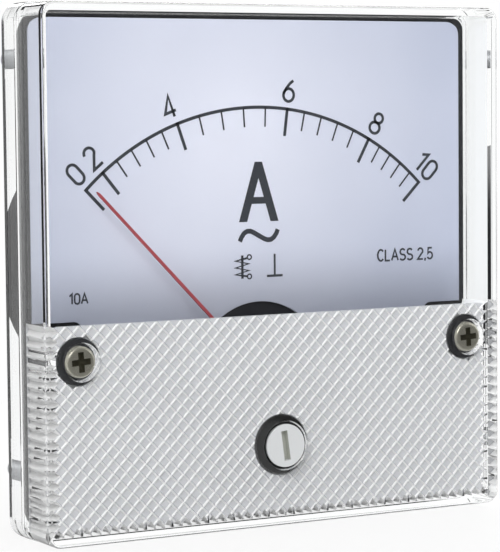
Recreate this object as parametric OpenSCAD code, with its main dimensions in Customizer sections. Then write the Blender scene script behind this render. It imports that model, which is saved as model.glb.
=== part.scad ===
// Square analog panel meter with a clear moulded cover and a moving-iron movement.
// Axes: X to the right, Z up, Y from the face (negative) through the panel plane (Y = 0)
// to the terminals (positive). The origin is on the axis of the round case.

/* [Cover] */
// Width and height of the cover over its rear rim
face_size = 80; // [78:0.5:88]
// Depth of the cover, from its front face to the panel
cover_depth = 13.8; // [13.6:0.1:16]
// Thickness of the clear front
front_t = 2; // [1.8:0.1:2.2]
// Thickness of the side walls
wall = 1.5; // [1.3:0.1:1.8]
// Set-in of the front box from the rear rim, on each side
rim_step = 0.35; // [0.3:0.05:0.6]
// Length of the rear rim
rim_len = 4.8; // [4.4:0.1:5]
// Corner radius of the front box
box_corner_r = 2; // [1.8:0.1:3]
// Corner radius of the rear rim
rim_corner_r = 3; // [2.5:0.1:4]
// Chamfer along the front edges
edge_chamfer = 0.3; // [0.2:0.1:0.6]

/* [Prismatic band] */
// Height of the band's top edge, measured from the centre
band_top_z = -7.4; // [-8:0.1:-7]
// Half of the diagonal of one prism
prism_half_diag = 1.055; // [1.02:0.005:1.6]
// Height of one prism
prism_h = 0.8; // [0.6:0.05:0.85]
// Pitch of the ribs on the band's walls
rib_pitch = 1.5; // [1.2:0.05:2]
// Depth of those ribs
rib_depth = 0.9; // [0.5:0.05:1]
// Thickness of the pale film behind the band, which hides the movement
film_t = 0.15; // [0.1:0.05:0.2]

/* [Base and case] */
// Thickness of the square base plate
base_t = 1.5; // [1.2:0.1:2]
// Gap between the base plate and the rim, on each side
base_gap = 0.2; // [0.1:0.05:0.25]
// Outer radius of the round case
case_r = 31.75; // [31.6:0.05:32.2]
// Wall of the round case
case_wall = 1.5; // [1.2:0.1:1.8]
// Chamfer along the rear edge of the round case
case_chamfer = 0.8; // [0.4:0.1:1.2]
// How far the round case reaches behind the panel plane
case_depth = 18.8; // [18.4:0.1:24]
// Distance of the cover screws from the centre line
cover_screw_x = 34; // [33:0.1:34.4]
// Height of the cover screws
cover_screw_z = -12.6; // [-14:0.1:-12]
// Radius of the bosses that take the cover screws
cover_boss_r = 3.5; // [3:0.1:3.6]
// Spacing of the mounting studs, both ways
stud_spacing = 64; // [62:0.5:66]
// Radius of a mounting stud
stud_r = 1.5; // [1.2:0.1:2]
// Free length of a mounting stud behind the panel plane
stud_len = 16; // [10:0.5:20]

/* [Dial] */
// Black border left round the dial on the base plate
dial_border = 0.6; // [0.4:0.1:1]
// Thickness of the dial sheet
dial_t = 0.5; // [0.3:0.05:0.6]
// Corner radius at the top of the dial
dial_corner_r = 2.8; // [2:0.1:4]
// Radius of the cut-out round the movement
dial_cut_r = 11.7; // [11.2:0.1:12]
// Distance of the dial screws from the centre line
dial_screw_x = 17; // [16.5:0.1:18]

/* [Movement] */
// Height of the pointer's pivot
pivot_z = -17.5; // [-17.6:0.1:-17]
// Angle of the pointer at rest, clockwise from straight up
rest_angle = -44.2; // [-46:0.1:-42]
// Length of the pointer from the pivot
pointer_len = 41; // [36:0.5:42]
// Width of the pointer's arm
pointer_w = 0.5; // [0.4:0.05:0.8]
// Thickness of the pointer
pointer_t = 0.4; // [0.3:0.05:0.5]
// Distance of the pointer's back from the dial
pointer_gap = 1.9; // [1.8:0.05:2]
// Radius of the spindle
spindle_r = 0.5; // [0.4:0.05:0.6]
// Length of the coil bobbin
bobbin_len = 11; // [9:0.5:11.5]
// Gap between the movement and the wall of the round case
movement_gap = 0.55; // [0.4:0.05:1.2]
// How far the bobbin's flanges stay inside the movement's radius
bobbin_set_in = 1; // [0.8:0.1:1.6]
// Bore radius of the bobbin
bobbin_bore_r = 5.4; // [5.2:0.1:5.8]

/* [Zero adjuster] */
// Height of the adjuster's axis
adjuster_z = -27.4; // [-27.8:0.1:-27]
// Radius of the slotted disc
adjuster_r = 3.55; // [3:0.05:3.8]
// Radius of the adjuster's shaft
adjuster_shaft_r = 2.5; // [2.2:0.1:2.7]
// Distance of the eccentric pin from the adjuster's axis
eccentric = 1.6; // [1.2:0.1:1.7]
// Radius of the eccentric pin
pin_r = 0.45; // [0.35:0.05:0.5]

/* [Terminals] */
// Distance of the terminals from the centre line
terminal_x = 15; // [14:0.5:17]
// Height of the terminals
terminal_z = 5; // [3:0.5:8]
// Radius of a terminal stud
terminal_r = 2; // [1.5:0.1:2.5]
// Length of a terminal stud behind the case
terminal_len = 16; // [13:0.5:22]

/* [Hidden] */
$fn = 48;
// Running clearance, radial, of a shaft in its bore
run_gap = 0.05;
// Clearance of a piece that is fixed in or on another
fit_gap = 0.02;
// How far a form is sunk into the wall that it grows from
embed = 0.4;

// Planes along Y
front_y = -cover_depth;
window_y = front_y + front_t;
valley_y = window_y + 0.1;
base_front_y = -rim_len;
base_back_y = base_front_y + base_t;
dial_front_y = base_front_y - dial_t;
case_inner_y = case_depth - case_wall;

// Half sizes across X and Z
rim_half = face_size / 2;
box_half = rim_half - rim_step;
box_inner_half = box_half - wall;
rim_inner_half = rim_half - wall;
base_half = rim_inner_half - base_gap;
dial_half = base_half - dial_border;
case_inner_r = case_r - case_wall;

// Cover screws: pan head in a recess of the cover
head_r = 2.35;
head_h = 1.25;
recess_floor_t = 0.5;
recess_r = head_r + 0.4;
recess_y = window_y - recess_floor_t;
screw_r = 1.25;
screw_end_y = base_front_y + 0.6;

// Mounting studs: a head and a thicker root are moulded into a pad of the base plate
stud_head_r = stud_r + 1;
stud_head_h = 0.8;
stud_root_r = stud_r + 0.3;
stud_pad_r = stud_r + 2;
stud_chamfer = 0.4;

// Prisms: whole cells across the band, their ends inside the walls
cells_x = floor((box_inner_half + 0.6 * wall) / prism_half_diag);
cells_z = floor((band_top_z + box_inner_half + 0.6 * wall) / prism_half_diag);
row_len = 2 * cells_x + 1;
rib_end_y = dial_front_y - 0.3;
rib_foot = 0.05;
rib_tip = 0.1;
side_ribs = floor((band_top_z + box_inner_half + 0.6 * wall) / rib_pitch);
low_ribs = floor((2 * box_inner_half + 0.6 * wall) / rib_pitch);

// Film behind the band: it lies on the prisms' tips, between the ribs' tips
film_front_y = valley_y + prism_h + fit_gap;
film_back_y = film_front_y + film_t;
film_half = box_inner_half - rib_depth - run_gap;
// Dial screws, below the band's top edge
dial_screw_z = band_top_z - 2.8;

// The movement is as large as the case has room for below the pivot
movement_r = case_inner_r + pivot_z - movement_gap;
bobbin_r = movement_r - bobbin_set_in;

// Planes of the movement, counted from the dial towards the front
frame_t = 1.5;
frame_front_y = base_front_y + 0.05;
frame_back_y = frame_front_y + frame_t;
bar_front_y = base_front_y - frame_t;
pointer_back_y = dial_front_y - pointer_gap;
pointer_front_y = pointer_back_y - pointer_t;
spring_h = 0.4;
spring_back_y = pointer_front_y - 0.45;
spring_front_y = spring_back_y - spring_h;
lever_t = 0.4;
lever_back_y = spring_front_y - 0.45;
lever_front_y = lever_back_y - lever_t;
strip_t = 0.6;
strip_back_y = lever_front_y - 0.05;
strip_front_y = strip_back_y - strip_t;
nut_front_y = strip_front_y - 0.4;
bearing_front_y = nut_front_y - 0.1;
bearing_back_y = lever_back_y + 0.1;

// Front bearing
bearing_r = 1.4;
pivot_r = 0.25;
pivot_len = 0.7;
hub_r = 1.6;
collet_r = 1.2;
lock_nut_af = 5;
rear_nut_t = 0.8;

// Bridges: the front one's feet are screwed down just inside those of the rear one
bridge_w = 5;
rear_sheet_t = 0.8;
rear_leg_x = bobbin_r + 0.8;
rear_foot_len = 4.8;
rear_screw_x = rear_leg_x + 2.9;
front_foot_len = 5;
front_screw_x = rear_screw_x - 2.6;
leg_x = front_screw_x - 2.8;
small_screw_r = 0.8;
small_head_r = 1.5;
small_head_h = 0.8;
small_slot_w = 0.4;
small_slot_d = 0.45;

// Zero lever and adjuster
bush_len = 1.8;
bush_r = 4.6;
bush_back_y = window_y + bush_len;
disc_back_y = window_y - run_gap;
disc_front_y = front_y - 0.1;
flange_back_y = bush_back_y + 0.4;
pin_end_y = lever_back_y + 0.1;
fork_gap = 0.1;
lever_reach = pivot_z - adjuster_z;
slot_angle = -7.5;
slot_w = 0.9;
slot_len = 4.6;

// Hairspring
spring_stud_r = 0.4;
spring_stud_at = 4.9;
spring_strip = 0.12;
spring_outer_r = spring_stud_at - spring_stud_r - spring_strip - 0.03;
spring_inner_r = collet_r + 0.05;
spring_turns = 4.5;

// Balance
tail_len = 8.6;
weight_r = 0.85;
weight_len = 2.45;

// Coil
bobbin_back_y = frame_back_y + bobbin_len;
flange_t = 1;
tube_t = 0.7;
winding_r = bobbin_r - 0.6;
fixed_vane_t = 0.4;
moving_vane_t = 0.3;
moving_vane_r = bobbin_bore_r - fixed_vane_t - 0.7;
moving_vane_mid = rest_angle + 180;
moving_vane_half = 35;
vane_lag = 20;
fixed_vane_mid = moving_vane_mid - vane_lag;
fixed_vane_half = 60;
fixed_vane_inset = 1;
moving_vane_inset = 2;
vane_arm_inset = 4;
vane_arm_half = 8;
vane_collar_r = 1.1;

// Damping vane, magnet and rear bridge, counted from the bobbin backwards
vane_t = 0.3;
vane_r = bobbin_r - 0.8;
vane_span = 50;
vane_front_y = bobbin_back_y + 1.1;
vane_back_y = vane_front_y + vane_t;
magnet_front_y = bobbin_back_y + 0.15;
magnet_back_y = vane_back_y + 0.95;
rear_strip_front_y = magnet_back_y;
rear_strip_back_y = rear_strip_front_y + rear_sheet_t;
magnet_w = 6;
magnet_l = 5.6;
magnet_mid = vane_r - 1.2;
magnet_slot = 0.35;
rear_bearing_front_y = rear_strip_front_y - 0.4;
rear_bearing_back_y = rear_strip_back_y + 1.3;
rear_pivot_end_y = rear_bearing_front_y + pivot_len;

// Frame bar and its screws on the base plate
bar_half = 4;
ear_x = 28.2;
frame_screw_x = 27.2;
frame_screw_z = pivot_z;

// Posts that stop the pointer, just outside its whole travel
stop_at_r = 9.5;
stop_angle = 61.5;
stop_x = stop_at_r * sin(stop_angle);
stop_z = pivot_z + stop_at_r * cos(stop_angle);

// Terminals
term_boss_r = 5;
term_pad_h = 1.2;
head_af = 7;
term_head_h = 2.2;
tag_t = 0.6;
term_boss_front_y = case_inner_y - 3.2;
tag_front_y = term_boss_front_y - tag_t;
term_head_front_y = tag_front_y - term_head_h;
pad_back_y = case_depth + term_pad_h;
washer_t = 0.8;
washer_r = 4.5;
lock_t = 1;
lock_r = 3.5;
nut_t = 3.2;
// Radius at which the meshed threads of nut and stud are drawn
mesh_r = terminal_r - 0.2;
nut_front_end_y = pad_back_y + washer_t + lock_t;
nut_back_end_y = nut_front_end_y + nut_t;
thread_gap = 0.3;
terminal_end_y = case_depth + terminal_len;
terminal_chamfer = 0.5;
lead_r = 0.7;

// ---------- Shared shapes ----------

// A flat outline, drawn with X and Z, filled from plane y0 back to plane y1
module slab(y0, y1) {
    translate([0, y1, 0])
        rotate([90, 0, 0])
            linear_extrude(height = y1 - y0)
                children();
}

// A round bar along Y from plane y0 to plane y1
module bar(r, y0, y1, x = 0, z = 0) {
    translate([x, y1, z])
        rotate([90, 0, 0])
            cylinder(h = y1 - y0, r = r);
}

// A bar that tapers along Y from radius r0 at plane y0 to radius r1 at plane y1
module cone(r0, r1, y0, y1, x = 0, z = 0) {
    translate([x, y1, z])
        rotate([90, 0, 0])
            cylinder(h = y1 - y0, r1 = r1, r2 = r0);
}

// A six-sided bar along Y, of the given width across flats
module hex_bar(across_flats, y0, y1, x = 0, z = 0) {
    translate([x, y1, z])
        rotate([90, 0, 0])
            cylinder(h = y1 - y0, r = across_flats / sqrt(3), $fn = 6);
}

// A square outline with round corners, centred
module round_square(half, r) {
    square([2 * half, 2 * (half - r)], center = true);
    square([2 * (half - r), 2 * half], center = true);
    for (sx = [-1, 1], sz = [-1, 1])
        translate([sx * (half - r), sz * (half - r)])
            circle(r = r);
}

// A ring outline
module ring(r_out, r_in) {
    difference() {
        circle(r = r_out);
        circle(r = r_in);
    }
}

// A pie slice outline of radius r, from angle a0 to a1, clockwise from straight up
module slice(r, a0, a1) {
    far = 2 * r;
    mid = (a0 + a1) / 2;
    intersection() {
        circle(r = r);
        polygon([
            [0, 0],
            [far * sin(a0), far * cos(a0)],
            [far * sin(mid), far * cos(mid)],
            [far * sin(a1), far * cos(a1)]
        ]);
    }
}

// Unit vector
function unit(v) = v / norm(v);

// Points of a path whose corners are rounded by short curves that start at the distance cut
function rounded_path(points, cut, steps = 5) = concat(
    [points[0]],
    [for (i = [1 : len(points) - 2])
        let (
            corner = points[i],
            a = corner + cut * unit(points[i - 1] - corner),
            b = corner + cut * unit(points[i + 1] - corner)
        )
        each [for (k = [0 : steps]) let (t = k / steps)
            (1 - t) * (1 - t) * a + 2 * t * (1 - t) * corner + t * t * b]],
    [points[len(points) - 1]]
);

// A round wire swept along a path; side is a direction that the path never takes
module wire(path, r, side) {
    sides = 12;
    last = len(path) - 1;
    rings = [for (i = [0 : last])
        let (
            along = unit(path[min(i + 1, last)] - path[max(i - 1, 0)]),
            u = unit(cross(along, side)),
            v = cross(along, u)
        )
        each [for (k = [0 : sides - 1]) let (turn = 360 * k / sides)
            path[i] + r * (cos(turn) * u + sin(turn) * v)]];
    walls = [for (i = [0 : last - 1], k = [0 : sides - 1])
        let (n = (k + 1) % sides)
        each [
            [i * sides + k, (i + 1) * sides + k, (i + 1) * sides + n],
            [i * sides + k, (i + 1) * sides + n, i * sides + n]
        ]];
    polyhedron(
        points = rings,
        faces = concat(
            walls,
            [[for (k = [0 : sides - 1]) k]],
            [[for (k = [sides - 1 : -1 : 0]) last * sides + k]]
        )
    );
}

// Children moved to the pivot axis
module at_pivot() {
    translate([0, 0, pivot_z])
        children();
}

// ---------- Cover ----------

// Outline of the front box with chamfered front edges, for a cut along one side
module box_profile() {
    polygon([
        [-box_half, 0],
        [-box_half, front_y + edge_chamfer],
        [-box_half + edge_chamfer, front_y],
        [box_half - edge_chamfer, front_y],
        [box_half, front_y + edge_chamfer],
        [box_half, 0]
    ]);
}

module cover_outside() {
    intersection() {
        slab(front_y, 0)
            round_square(box_half, box_corner_r);
        linear_extrude(height = 2 * box_half, center = true)
            box_profile();
        rotate([0, 90, 0])
            linear_extrude(height = 2 * box_half, center = true)
                box_profile();
    }
    slab(base_front_y, 0)
        round_square(rim_half, rim_corner_r);
}

module cover_inside() {
    slab(window_y, 1)
        round_square(box_inner_half, box_corner_r - 1.2);
    slab(base_front_y, 1)
        round_square(rim_inner_half, rim_corner_r - 1.2);
}

function prism_index(a, b) = b * row_len + a + cells_x;
function prism_point(a, b) = [
    a * prism_half_diag,
    (a + b) % 2 == 0 ? valley_y + prism_h : valley_y,
    band_top_z - b * prism_half_diag
];
function prism_cell(a, b) = let (
        p = prism_index(a, b),
        q = prism_index(a + 1, b),
        r = prism_index(a + 1, b + 1),
        s = prism_index(a, b + 1)
    ) (a + b) % 2 == 0 ? [[p, s, q], [q, s, r]] : [[p, r, q], [p, s, r]];

// Field of square prisms, set on edge, whose neighbours share their base lines
module prism_field() {
    half_w = cells_x * prism_half_diag;
    low_z = band_top_z - cells_z * prism_half_diag;
    back_y = window_y - embed;
    count = row_len * (cells_z + 1);
    grid = [for (b = [0 : cells_z], a = [-cells_x : cells_x]) prism_point(a, b)];
    corners = [
        [-half_w, back_y, band_top_z],
        [half_w, back_y, band_top_z],
        [half_w, back_y, low_z],
        [-half_w, back_y, low_z]
    ];
    top_row = [for (a = [-cells_x : cells_x]) prism_index(a, 0)];
    low_row = [for (a = [cells_x : -1 : -cells_x]) prism_index(a, cells_z)];
    left_row = [for (b = [cells_z : -1 : 0]) prism_index(-cells_x, b)];
    right_row = [for (b = [0 : cells_z]) prism_index(cells_x, b)];
    polyhedron(
        points = concat(grid, corners),
        faces = concat(
            [for (b = [0 : cells_z - 1], a = [-cells_x : cells_x - 1]) each prism_cell(a, b)],
            [concat(top_row, [count + 1, count])],
            [concat(low_row, [count + 3, count + 2])],
            [concat(left_row, [count, count + 3])],
            [concat(right_row, [count + 2, count + 1])],
            [[count, count + 1, count + 2, count + 3]]
        )
    );
}

// One rib along Y: a wedge with a narrow flat tip, sunk into the wall that carries it
module rib() {
    hull() {
        slab(window_y - embed, rib_end_y)
            translate([0, -embed])
                square([rib_pitch, embed + rib_foot]);
        slab(window_y - embed, rib_end_y)
            translate([(rib_pitch - rib_tip) / 2, -embed])
                square([rib_tip, embed + rib_depth]);
    }
}

module wall_ribs() {
    for (flip = [0, 1])
        mirror([flip, 0, 0])
            for (i = [0 : side_ribs - 1])
                translate([-box_inner_half, 0, band_top_z - i * rib_pitch])
                    rotate([0, 90, 0])
                        rib();
    for (i = [0 : low_ribs - 1])
        translate([(i - low_ribs / 2) * rib_pitch, 0, -box_inner_half])
            rib();
}

module front_cover() {
    color([0.93, 0.95, 0.97, 0.35])
        difference() {
            union() {
                difference() {
                    cover_outside();
                    cover_inside();
                }
                prism_field();
                wall_ribs();
            }
            for (side = [-1, 1]) {
                bar(recess_r, front_y - 1, recess_y, side * cover_screw_x, cover_screw_z);
                bar(screw_r + 0.2, front_y - 1, window_y + 1, side * cover_screw_x, cover_screw_z);
                bar(cover_boss_r + 0.15, window_y, rib_end_y + 1, side * cover_screw_x, cover_screw_z);
            }
            bar(adjuster_r + 0.15, front_y - 1, window_y + 1, 0, adjuster_z);
            bar(bush_r + 0.15, window_y, rib_end_y, 0, adjuster_z);
        }
}

// Pale film pressed over the screw bosses and the adjuster's bush
module masking_film() {
    color([0.86, 0.87, 0.88])
        slab(film_front_y, film_back_y)
            difference() {
                translate([-film_half, -film_half])
                    square([2 * film_half, band_top_z + film_half]);
                for (side = [-1, 1])
                    translate([side * cover_screw_x, cover_screw_z])
                        circle(r = cover_boss_r + fit_gap);
                translate([0, adjuster_z])
                    circle(r = bush_r + fit_gap);
            }
}

module cover_screw(side) {
    x = side * cover_screw_x;
    color([0.72, 0.71, 0.66])
        difference() {
            union() {
                bar(head_r, recess_y - 0.85, recess_y, x, cover_screw_z);
                cone(head_r - 0.45, head_r, recess_y - head_h, recess_y - 0.85, x, cover_screw_z);
                bar(screw_r, recess_y, screw_end_y, x, cover_screw_z);
            }
            translate([x, recess_y - head_h, cover_screw_z])
                for (turn = [-10, 80])
                    rotate([0, turn, 0])
                        cube([2.7, 1.5, 0.75], center = true);
            cone(0.95, 0.35, recess_y - head_h - 0.01, recess_y - 0.3, x, cover_screw_z);
        }
}

// ---------- Base plate and round case ----------

module rear_case() {
    color([0.12, 0.12, 0.14])
        difference() {
            union() {
                slab(base_front_y, base_back_y)
                    round_square(base_half, rim_corner_r + 0.3);
                bar(case_r, base_back_y - embed, case_depth - case_chamfer);
                cone(case_r, case_r - case_chamfer, case_depth - case_chamfer, case_depth);
                for (side = [-1, 1])
                    bar(cover_boss_r, window_y, base_back_y, side * cover_screw_x, cover_screw_z);
                for (sx = [-1, 1], sz = [-1, 1])
                    bar(stud_pad_r, base_front_y, 0, sx * stud_spacing / 2, sz * stud_spacing / 2);
                for (side = [-1, 1])
                    bar(term_boss_r + 1, case_depth - 0.5, pad_back_y, side * terminal_x, terminal_z);
            }
            difference() {
                bar(case_inner_r, base_front_y - 1, case_inner_y);
                for (side = [-1, 1])
                    bar(term_boss_r, term_boss_front_y, case_depth, side * terminal_x, terminal_z);
            }
            for (side = [-1, 1]) {
                bar(screw_r + run_gap, window_y - 1, screw_end_y + 0.3, side * cover_screw_x, cover_screw_z);
                bar(terminal_r + run_gap, 0, pad_back_y + 1, side * terminal_x, terminal_z);
                bar(small_screw_r + fit_gap, base_front_y - 1, base_back_y - 0.3,
                    side * frame_screw_x, frame_screw_z);
            }
            for (sx = [-1, 1], sz = [-1, 1]) {
                bar(stud_root_r + fit_gap, base_front_y - 1, 1, sx * stud_spacing / 2, sz * stud_spacing / 2);
                bar(stud_head_r + fit_gap, base_front_y - 1, base_front_y + stud_head_h,
                    sx * stud_spacing / 2, sz * stud_spacing / 2);
            }
        }
}

// Stud with a flat head sunk into the front of the base plate
module mounting_stud(sx, sz) {
    x = sx * stud_spacing / 2;
    z = sz * stud_spacing / 2;
    color([0.75, 0.72, 0.6]) {
        bar(stud_head_r, base_front_y + 0.1, base_front_y + stud_head_h, x, z);
        bar(stud_root_r, base_front_y + 0.5, 0, x, z);
        bar(stud_r, -0.5, stud_len - stud_chamfer, x, z);
        cone(stud_r, stud_r - stud_chamfer, stud_len - stud_chamfer, stud_len, x, z);
    }
}

// ---------- Dial ----------

module dial_outline() {
    low_z = band_top_z - 0.8;
    blend_r = 3;
    tab_w = 5;
    blend_z = low_z + blend_r;
    blend_x = sqrt(pow(dial_cut_r + blend_r, 2) - pow(blend_z - pivot_z, 2));
    touch = [blend_x, blend_z - pivot_z] * dial_cut_r / (dial_cut_r + blend_r);
    notch_x = cover_screw_x - cover_boss_r - 0.3;
    notch_r = 1.5;
    difference() {
        union() {
            intersection() {
                round_square(dial_half, dial_corner_r);
                translate([-dial_half, low_z])
                    square([2 * dial_half, dial_half - low_z]);
            }
            for (side = [-1, 1])
                translate([side * dial_screw_x - tab_w / 2, low_z - tab_w + 1])
                    square(tab_w);
        }
        translate([0, pivot_z])
            circle(r = dial_cut_r);
        for (side = [-1, 1]) {
            difference() {
                polygon([
                    [side * touch[0], touch[1] + pivot_z],
                    [side * blend_x, low_z],
                    [side * blend_x, low_z - 1],
                    [side * (touch[0] - 1), low_z - 1]
                ]);
                translate([side * blend_x, blend_z])
                    circle(r = blend_r);
            }
            translate([side * (notch_x + notch_r), band_top_z - notch_r])
                circle(r = notch_r);
            translate([side * (notch_x + notch_r + dial_half), band_top_z - dial_half])
                square(2 * dial_half, center = true);
            translate([side * (notch_x + dial_half), band_top_z - notch_r - dial_half])
                square(2 * dial_half, center = true);
        }
    }
}

module dial_plate() {
    color([0.84, 0.86, 0.92])
        difference() {
            slab(dial_front_y, base_front_y)
                dial_outline();
            for (side = [-1, 1])
                bar(small_screw_r + 0.1, dial_front_y - 1, base_front_y + 1,
                    side * dial_screw_x, dial_screw_z);
        }
}

// Slotted cheese-head screw along Y, its head's front towards the face
module small_screw(head_front_y, end_y, x, z) {
    color([0.8, 0.78, 0.7])
        difference() {
            union() {
                bar(small_head_r, head_front_y, head_front_y + small_head_h, x, z);
                bar(small_screw_r, head_front_y + small_head_h - 0.1, end_y, x, z);
            }
            translate([x, head_front_y, z])
                cube([3 * small_head_r, 2 * small_slot_d, small_slot_w], center = true);
        }
}

module dial_screw(side) {
    small_screw(dial_front_y - small_head_h, frame_back_y + 1.2, side * dial_screw_x, dial_screw_z);
}

module frame_screw(side) {
    small_screw(bar_front_y - small_head_h, base_back_y - 0.6, side * frame_screw_x, frame_screw_z);
}

module front_bridge_screw(side) {
    small_screw(bar_front_y - strip_t - small_head_h, frame_back_y - 0.4, side * front_screw_x, pivot_z);
}

// ---------- Movement: fixed pieces ----------

module movement_frame() {
    plate_half_w = 20.5;
    color([0.13, 0.13, 0.15])
        difference() {
            union() {
                slab(frame_front_y, frame_back_y) {
                    translate([0, pivot_z])
                        circle(r = movement_r);
                    translate([-plate_half_w, pivot_z - bar_half])
                        square([2 * plate_half_w, dial_screw_z + 2.2 - pivot_z + bar_half]);
                }
                slab(bar_front_y, base_front_y)
                    translate([0, pivot_z])
                        square([2 * ear_x, 2 * bar_half], center = true);
                slab(base_front_y - 0.5, frame_front_y + 0.5)
                    translate([0, pivot_z])
                        square([2 * plate_half_w - 1, 2 * bar_half - 1], center = true);
                for (side = [-1, 1]) {
                    bar(1.8, frame_front_y + 0.5, frame_back_y + 2, side * dial_screw_x, dial_screw_z);
                    bar(0.5, pointer_front_y - 0.15, frame_front_y + 0.5, side * stop_x, stop_z);
                }
            }
            bar(3, bar_front_y - 1, frame_back_y + 1, 0, pivot_z);
            for (side = [-1, 1]) {
                bar(small_screw_r + fit_gap, frame_front_y - 1, frame_back_y + 1.5,
                    side * dial_screw_x, dial_screw_z);
                bar(small_screw_r + fit_gap, bar_front_y - 1, base_front_y + 1,
                    side * frame_screw_x, frame_screw_z);
                bar(small_screw_r + fit_gap, bar_front_y - 1, frame_back_y - 0.1,
                    side * front_screw_x, pivot_z);
                bar(small_screw_r + fit_gap, bar_front_y + 0.4, frame_back_y + 1,
                    side * rear_screw_x, pivot_z);
            }
        }
}

// Sheet strip bent into a flat-topped bridge, its feet turned outwards
module bridge_strip(top_y0, top_y1, foot_y0, foot_y1, inner_x, thick, foot_len) {
    slab(top_y0, top_y1)
        translate([0, pivot_z])
            square([2 * (inner_x + thick), bridge_w], center = true);
    for (side = [-1, 1]) {
        slab(min(top_y0, foot_y0), max(top_y1, foot_y1))
            translate([side * (inner_x + thick / 2), pivot_z])
                square([thick, bridge_w], center = true);
        slab(foot_y0, foot_y1)
            translate([side * (inner_x + foot_len / 2), pivot_z])
                square([foot_len, bridge_w], center = true);
    }
}

module front_bridge() {
    color([0.8, 0.8, 0.78])
        difference() {
            bridge_strip(strip_front_y, strip_back_y, bar_front_y - strip_t, bar_front_y,
                leg_x, strip_t, front_foot_len);
            bar(bearing_r + fit_gap, strip_front_y - 1, strip_back_y + 1, 0, pivot_z);
            for (side = [-1, 1])
                bar(small_screw_r + 0.1, bar_front_y - strip_t - 1, bar_front_y + 1,
                    side * front_screw_x, pivot_z);
        }
}

module front_bearing_screw() {
    color([0.82, 0.68, 0.35])
        difference() {
            bar(bearing_r, bearing_front_y, bearing_back_y, 0, pivot_z);
            bar(pivot_r + run_gap, bearing_back_y - pivot_len - 0.2, bearing_back_y + 1, 0, pivot_z);
            translate([0, bearing_front_y + 0.05, pivot_z])
                cube([2 * bearing_r + 1, 0.5, 0.4], center = true);
        }
}

module front_lock_nut() {
    color([0.82, 0.68, 0.35])
        difference() {
            hex_bar(lock_nut_af, nut_front_y, strip_front_y, 0, pivot_z);
            bar(bearing_r + fit_gap, nut_front_y - 1, strip_front_y + 1, 0, pivot_z);
        }
}

module coil_bobbin() {
    color([0.85, 0.83, 0.76])
        at_pivot()
            difference() {
                union() {
                    bar(bobbin_bore_r + tube_t, frame_back_y, bobbin_back_y);
                    bar(bobbin_r, frame_back_y, frame_back_y + flange_t);
                    bar(bobbin_r, bobbin_back_y - flange_t, bobbin_back_y);
                }
                bar(bobbin_bore_r, frame_back_y - 1, bobbin_back_y + 1);
            }
}

module coil_winding() {
    color([0.72, 0.36, 0.18])
        at_pivot()
            slab(frame_back_y + flange_t, bobbin_back_y - flange_t)
                ring(winding_r, bobbin_bore_r + tube_t + fit_gap);
}

// Curved iron sheet fixed against the bobbin's bore
module fixed_vane() {
    color([0.5, 0.5, 0.52])
        at_pivot()
            slab(frame_back_y + fixed_vane_inset, bobbin_back_y - fixed_vane_inset)
                difference() {
                    slice(bobbin_bore_r - fit_gap, fixed_vane_mid - fixed_vane_half,
                        fixed_vane_mid + fixed_vane_half);
                    circle(r = bobbin_bore_r - fit_gap - fixed_vane_t);
                }
}

module brake_magnet() {
    color([0.3, 0.3, 0.32])
        at_pivot()
            difference() {
                slab(magnet_front_y, magnet_back_y)
                    translate([0, magnet_mid])
                        square([magnet_w, magnet_l], center = true);
                slab(vane_front_y - magnet_slot, vane_back_y + magnet_slot)
                    translate([0, magnet_mid - magnet_l / 2 + 1.6])
                        square([magnet_w + 2, magnet_l + 0.2], center = true);
            }
}

module rear_bridge() {
    color([0.75, 0.75, 0.76])
        difference() {
            union() {
                bridge_strip(rear_strip_front_y, rear_strip_back_y, frame_back_y,
                    frame_back_y + rear_sheet_t, rear_leg_x, rear_sheet_t, rear_foot_len);
                slab(rear_strip_front_y, rear_strip_back_y)
                    translate([-magnet_w / 2 - 1, pivot_z])
                        square([magnet_w + 2, magnet_mid + magnet_l / 2 - 1]);
            }
            bar(bearing_r + fit_gap, rear_strip_front_y - 1, rear_strip_back_y + 1, 0, pivot_z);
            for (side = [-1, 1])
                bar(small_screw_r + 0.1, frame_back_y - 1, frame_back_y + 2, side * rear_screw_x, pivot_z);
        }
}

module rear_bearing_screw() {
    color([0.82, 0.68, 0.35])
        difference() {
            bar(bearing_r, rear_bearing_front_y, rear_bearing_back_y, 0, pivot_z);
            bar(pivot_r + run_gap, rear_bearing_front_y - 1, rear_pivot_end_y + 0.2, 0, pivot_z);
            translate([0, rear_bearing_back_y - 0.05, pivot_z])
                cube([2 * bearing_r + 1, 0.5, 0.4], center = true);
        }
}

module rear_lock_nut() {
    color([0.82, 0.68, 0.35])
        difference() {
            hex_bar(lock_nut_af, rear_strip_back_y, rear_strip_back_y + rear_nut_t, 0, pivot_z);
            bar(bearing_r + fit_gap, rear_strip_back_y - 1, rear_strip_back_y + 2, 0, pivot_z);
        }
}

// Screw put in from behind: the same screw, turned round
module rear_bridge_screw(side) {
    y_seat = frame_back_y + rear_sheet_t;
    translate([side * rear_screw_x, y_seat, pivot_z])
        rotate([0, 0, 180])
            small_screw(-small_head_h, y_seat - bar_front_y - 0.5, 0, 0);
}

// ---------- Movement: turning pieces ----------

module spindle() {
    front_shoulder_y = bearing_back_y + 0.05;
    rear_shoulder_y = rear_bearing_front_y - 0.05;
    color([0.78, 0.78, 0.8])
        at_pivot() {
            bar(spindle_r, front_shoulder_y, rear_shoulder_y);
            bar(pivot_r, bearing_back_y - pivot_len, front_shoulder_y + 0.1);
            bar(pivot_r, rear_shoulder_y - 0.1, rear_pivot_end_y);
        }
}

module hairspring_collet() {
    color([0.82, 0.68, 0.35])
        at_pivot()
            slab(spring_front_y - 0.05, pointer_front_y - 0.2)
                ring(collet_r, spindle_r + fit_gap);
}

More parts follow.
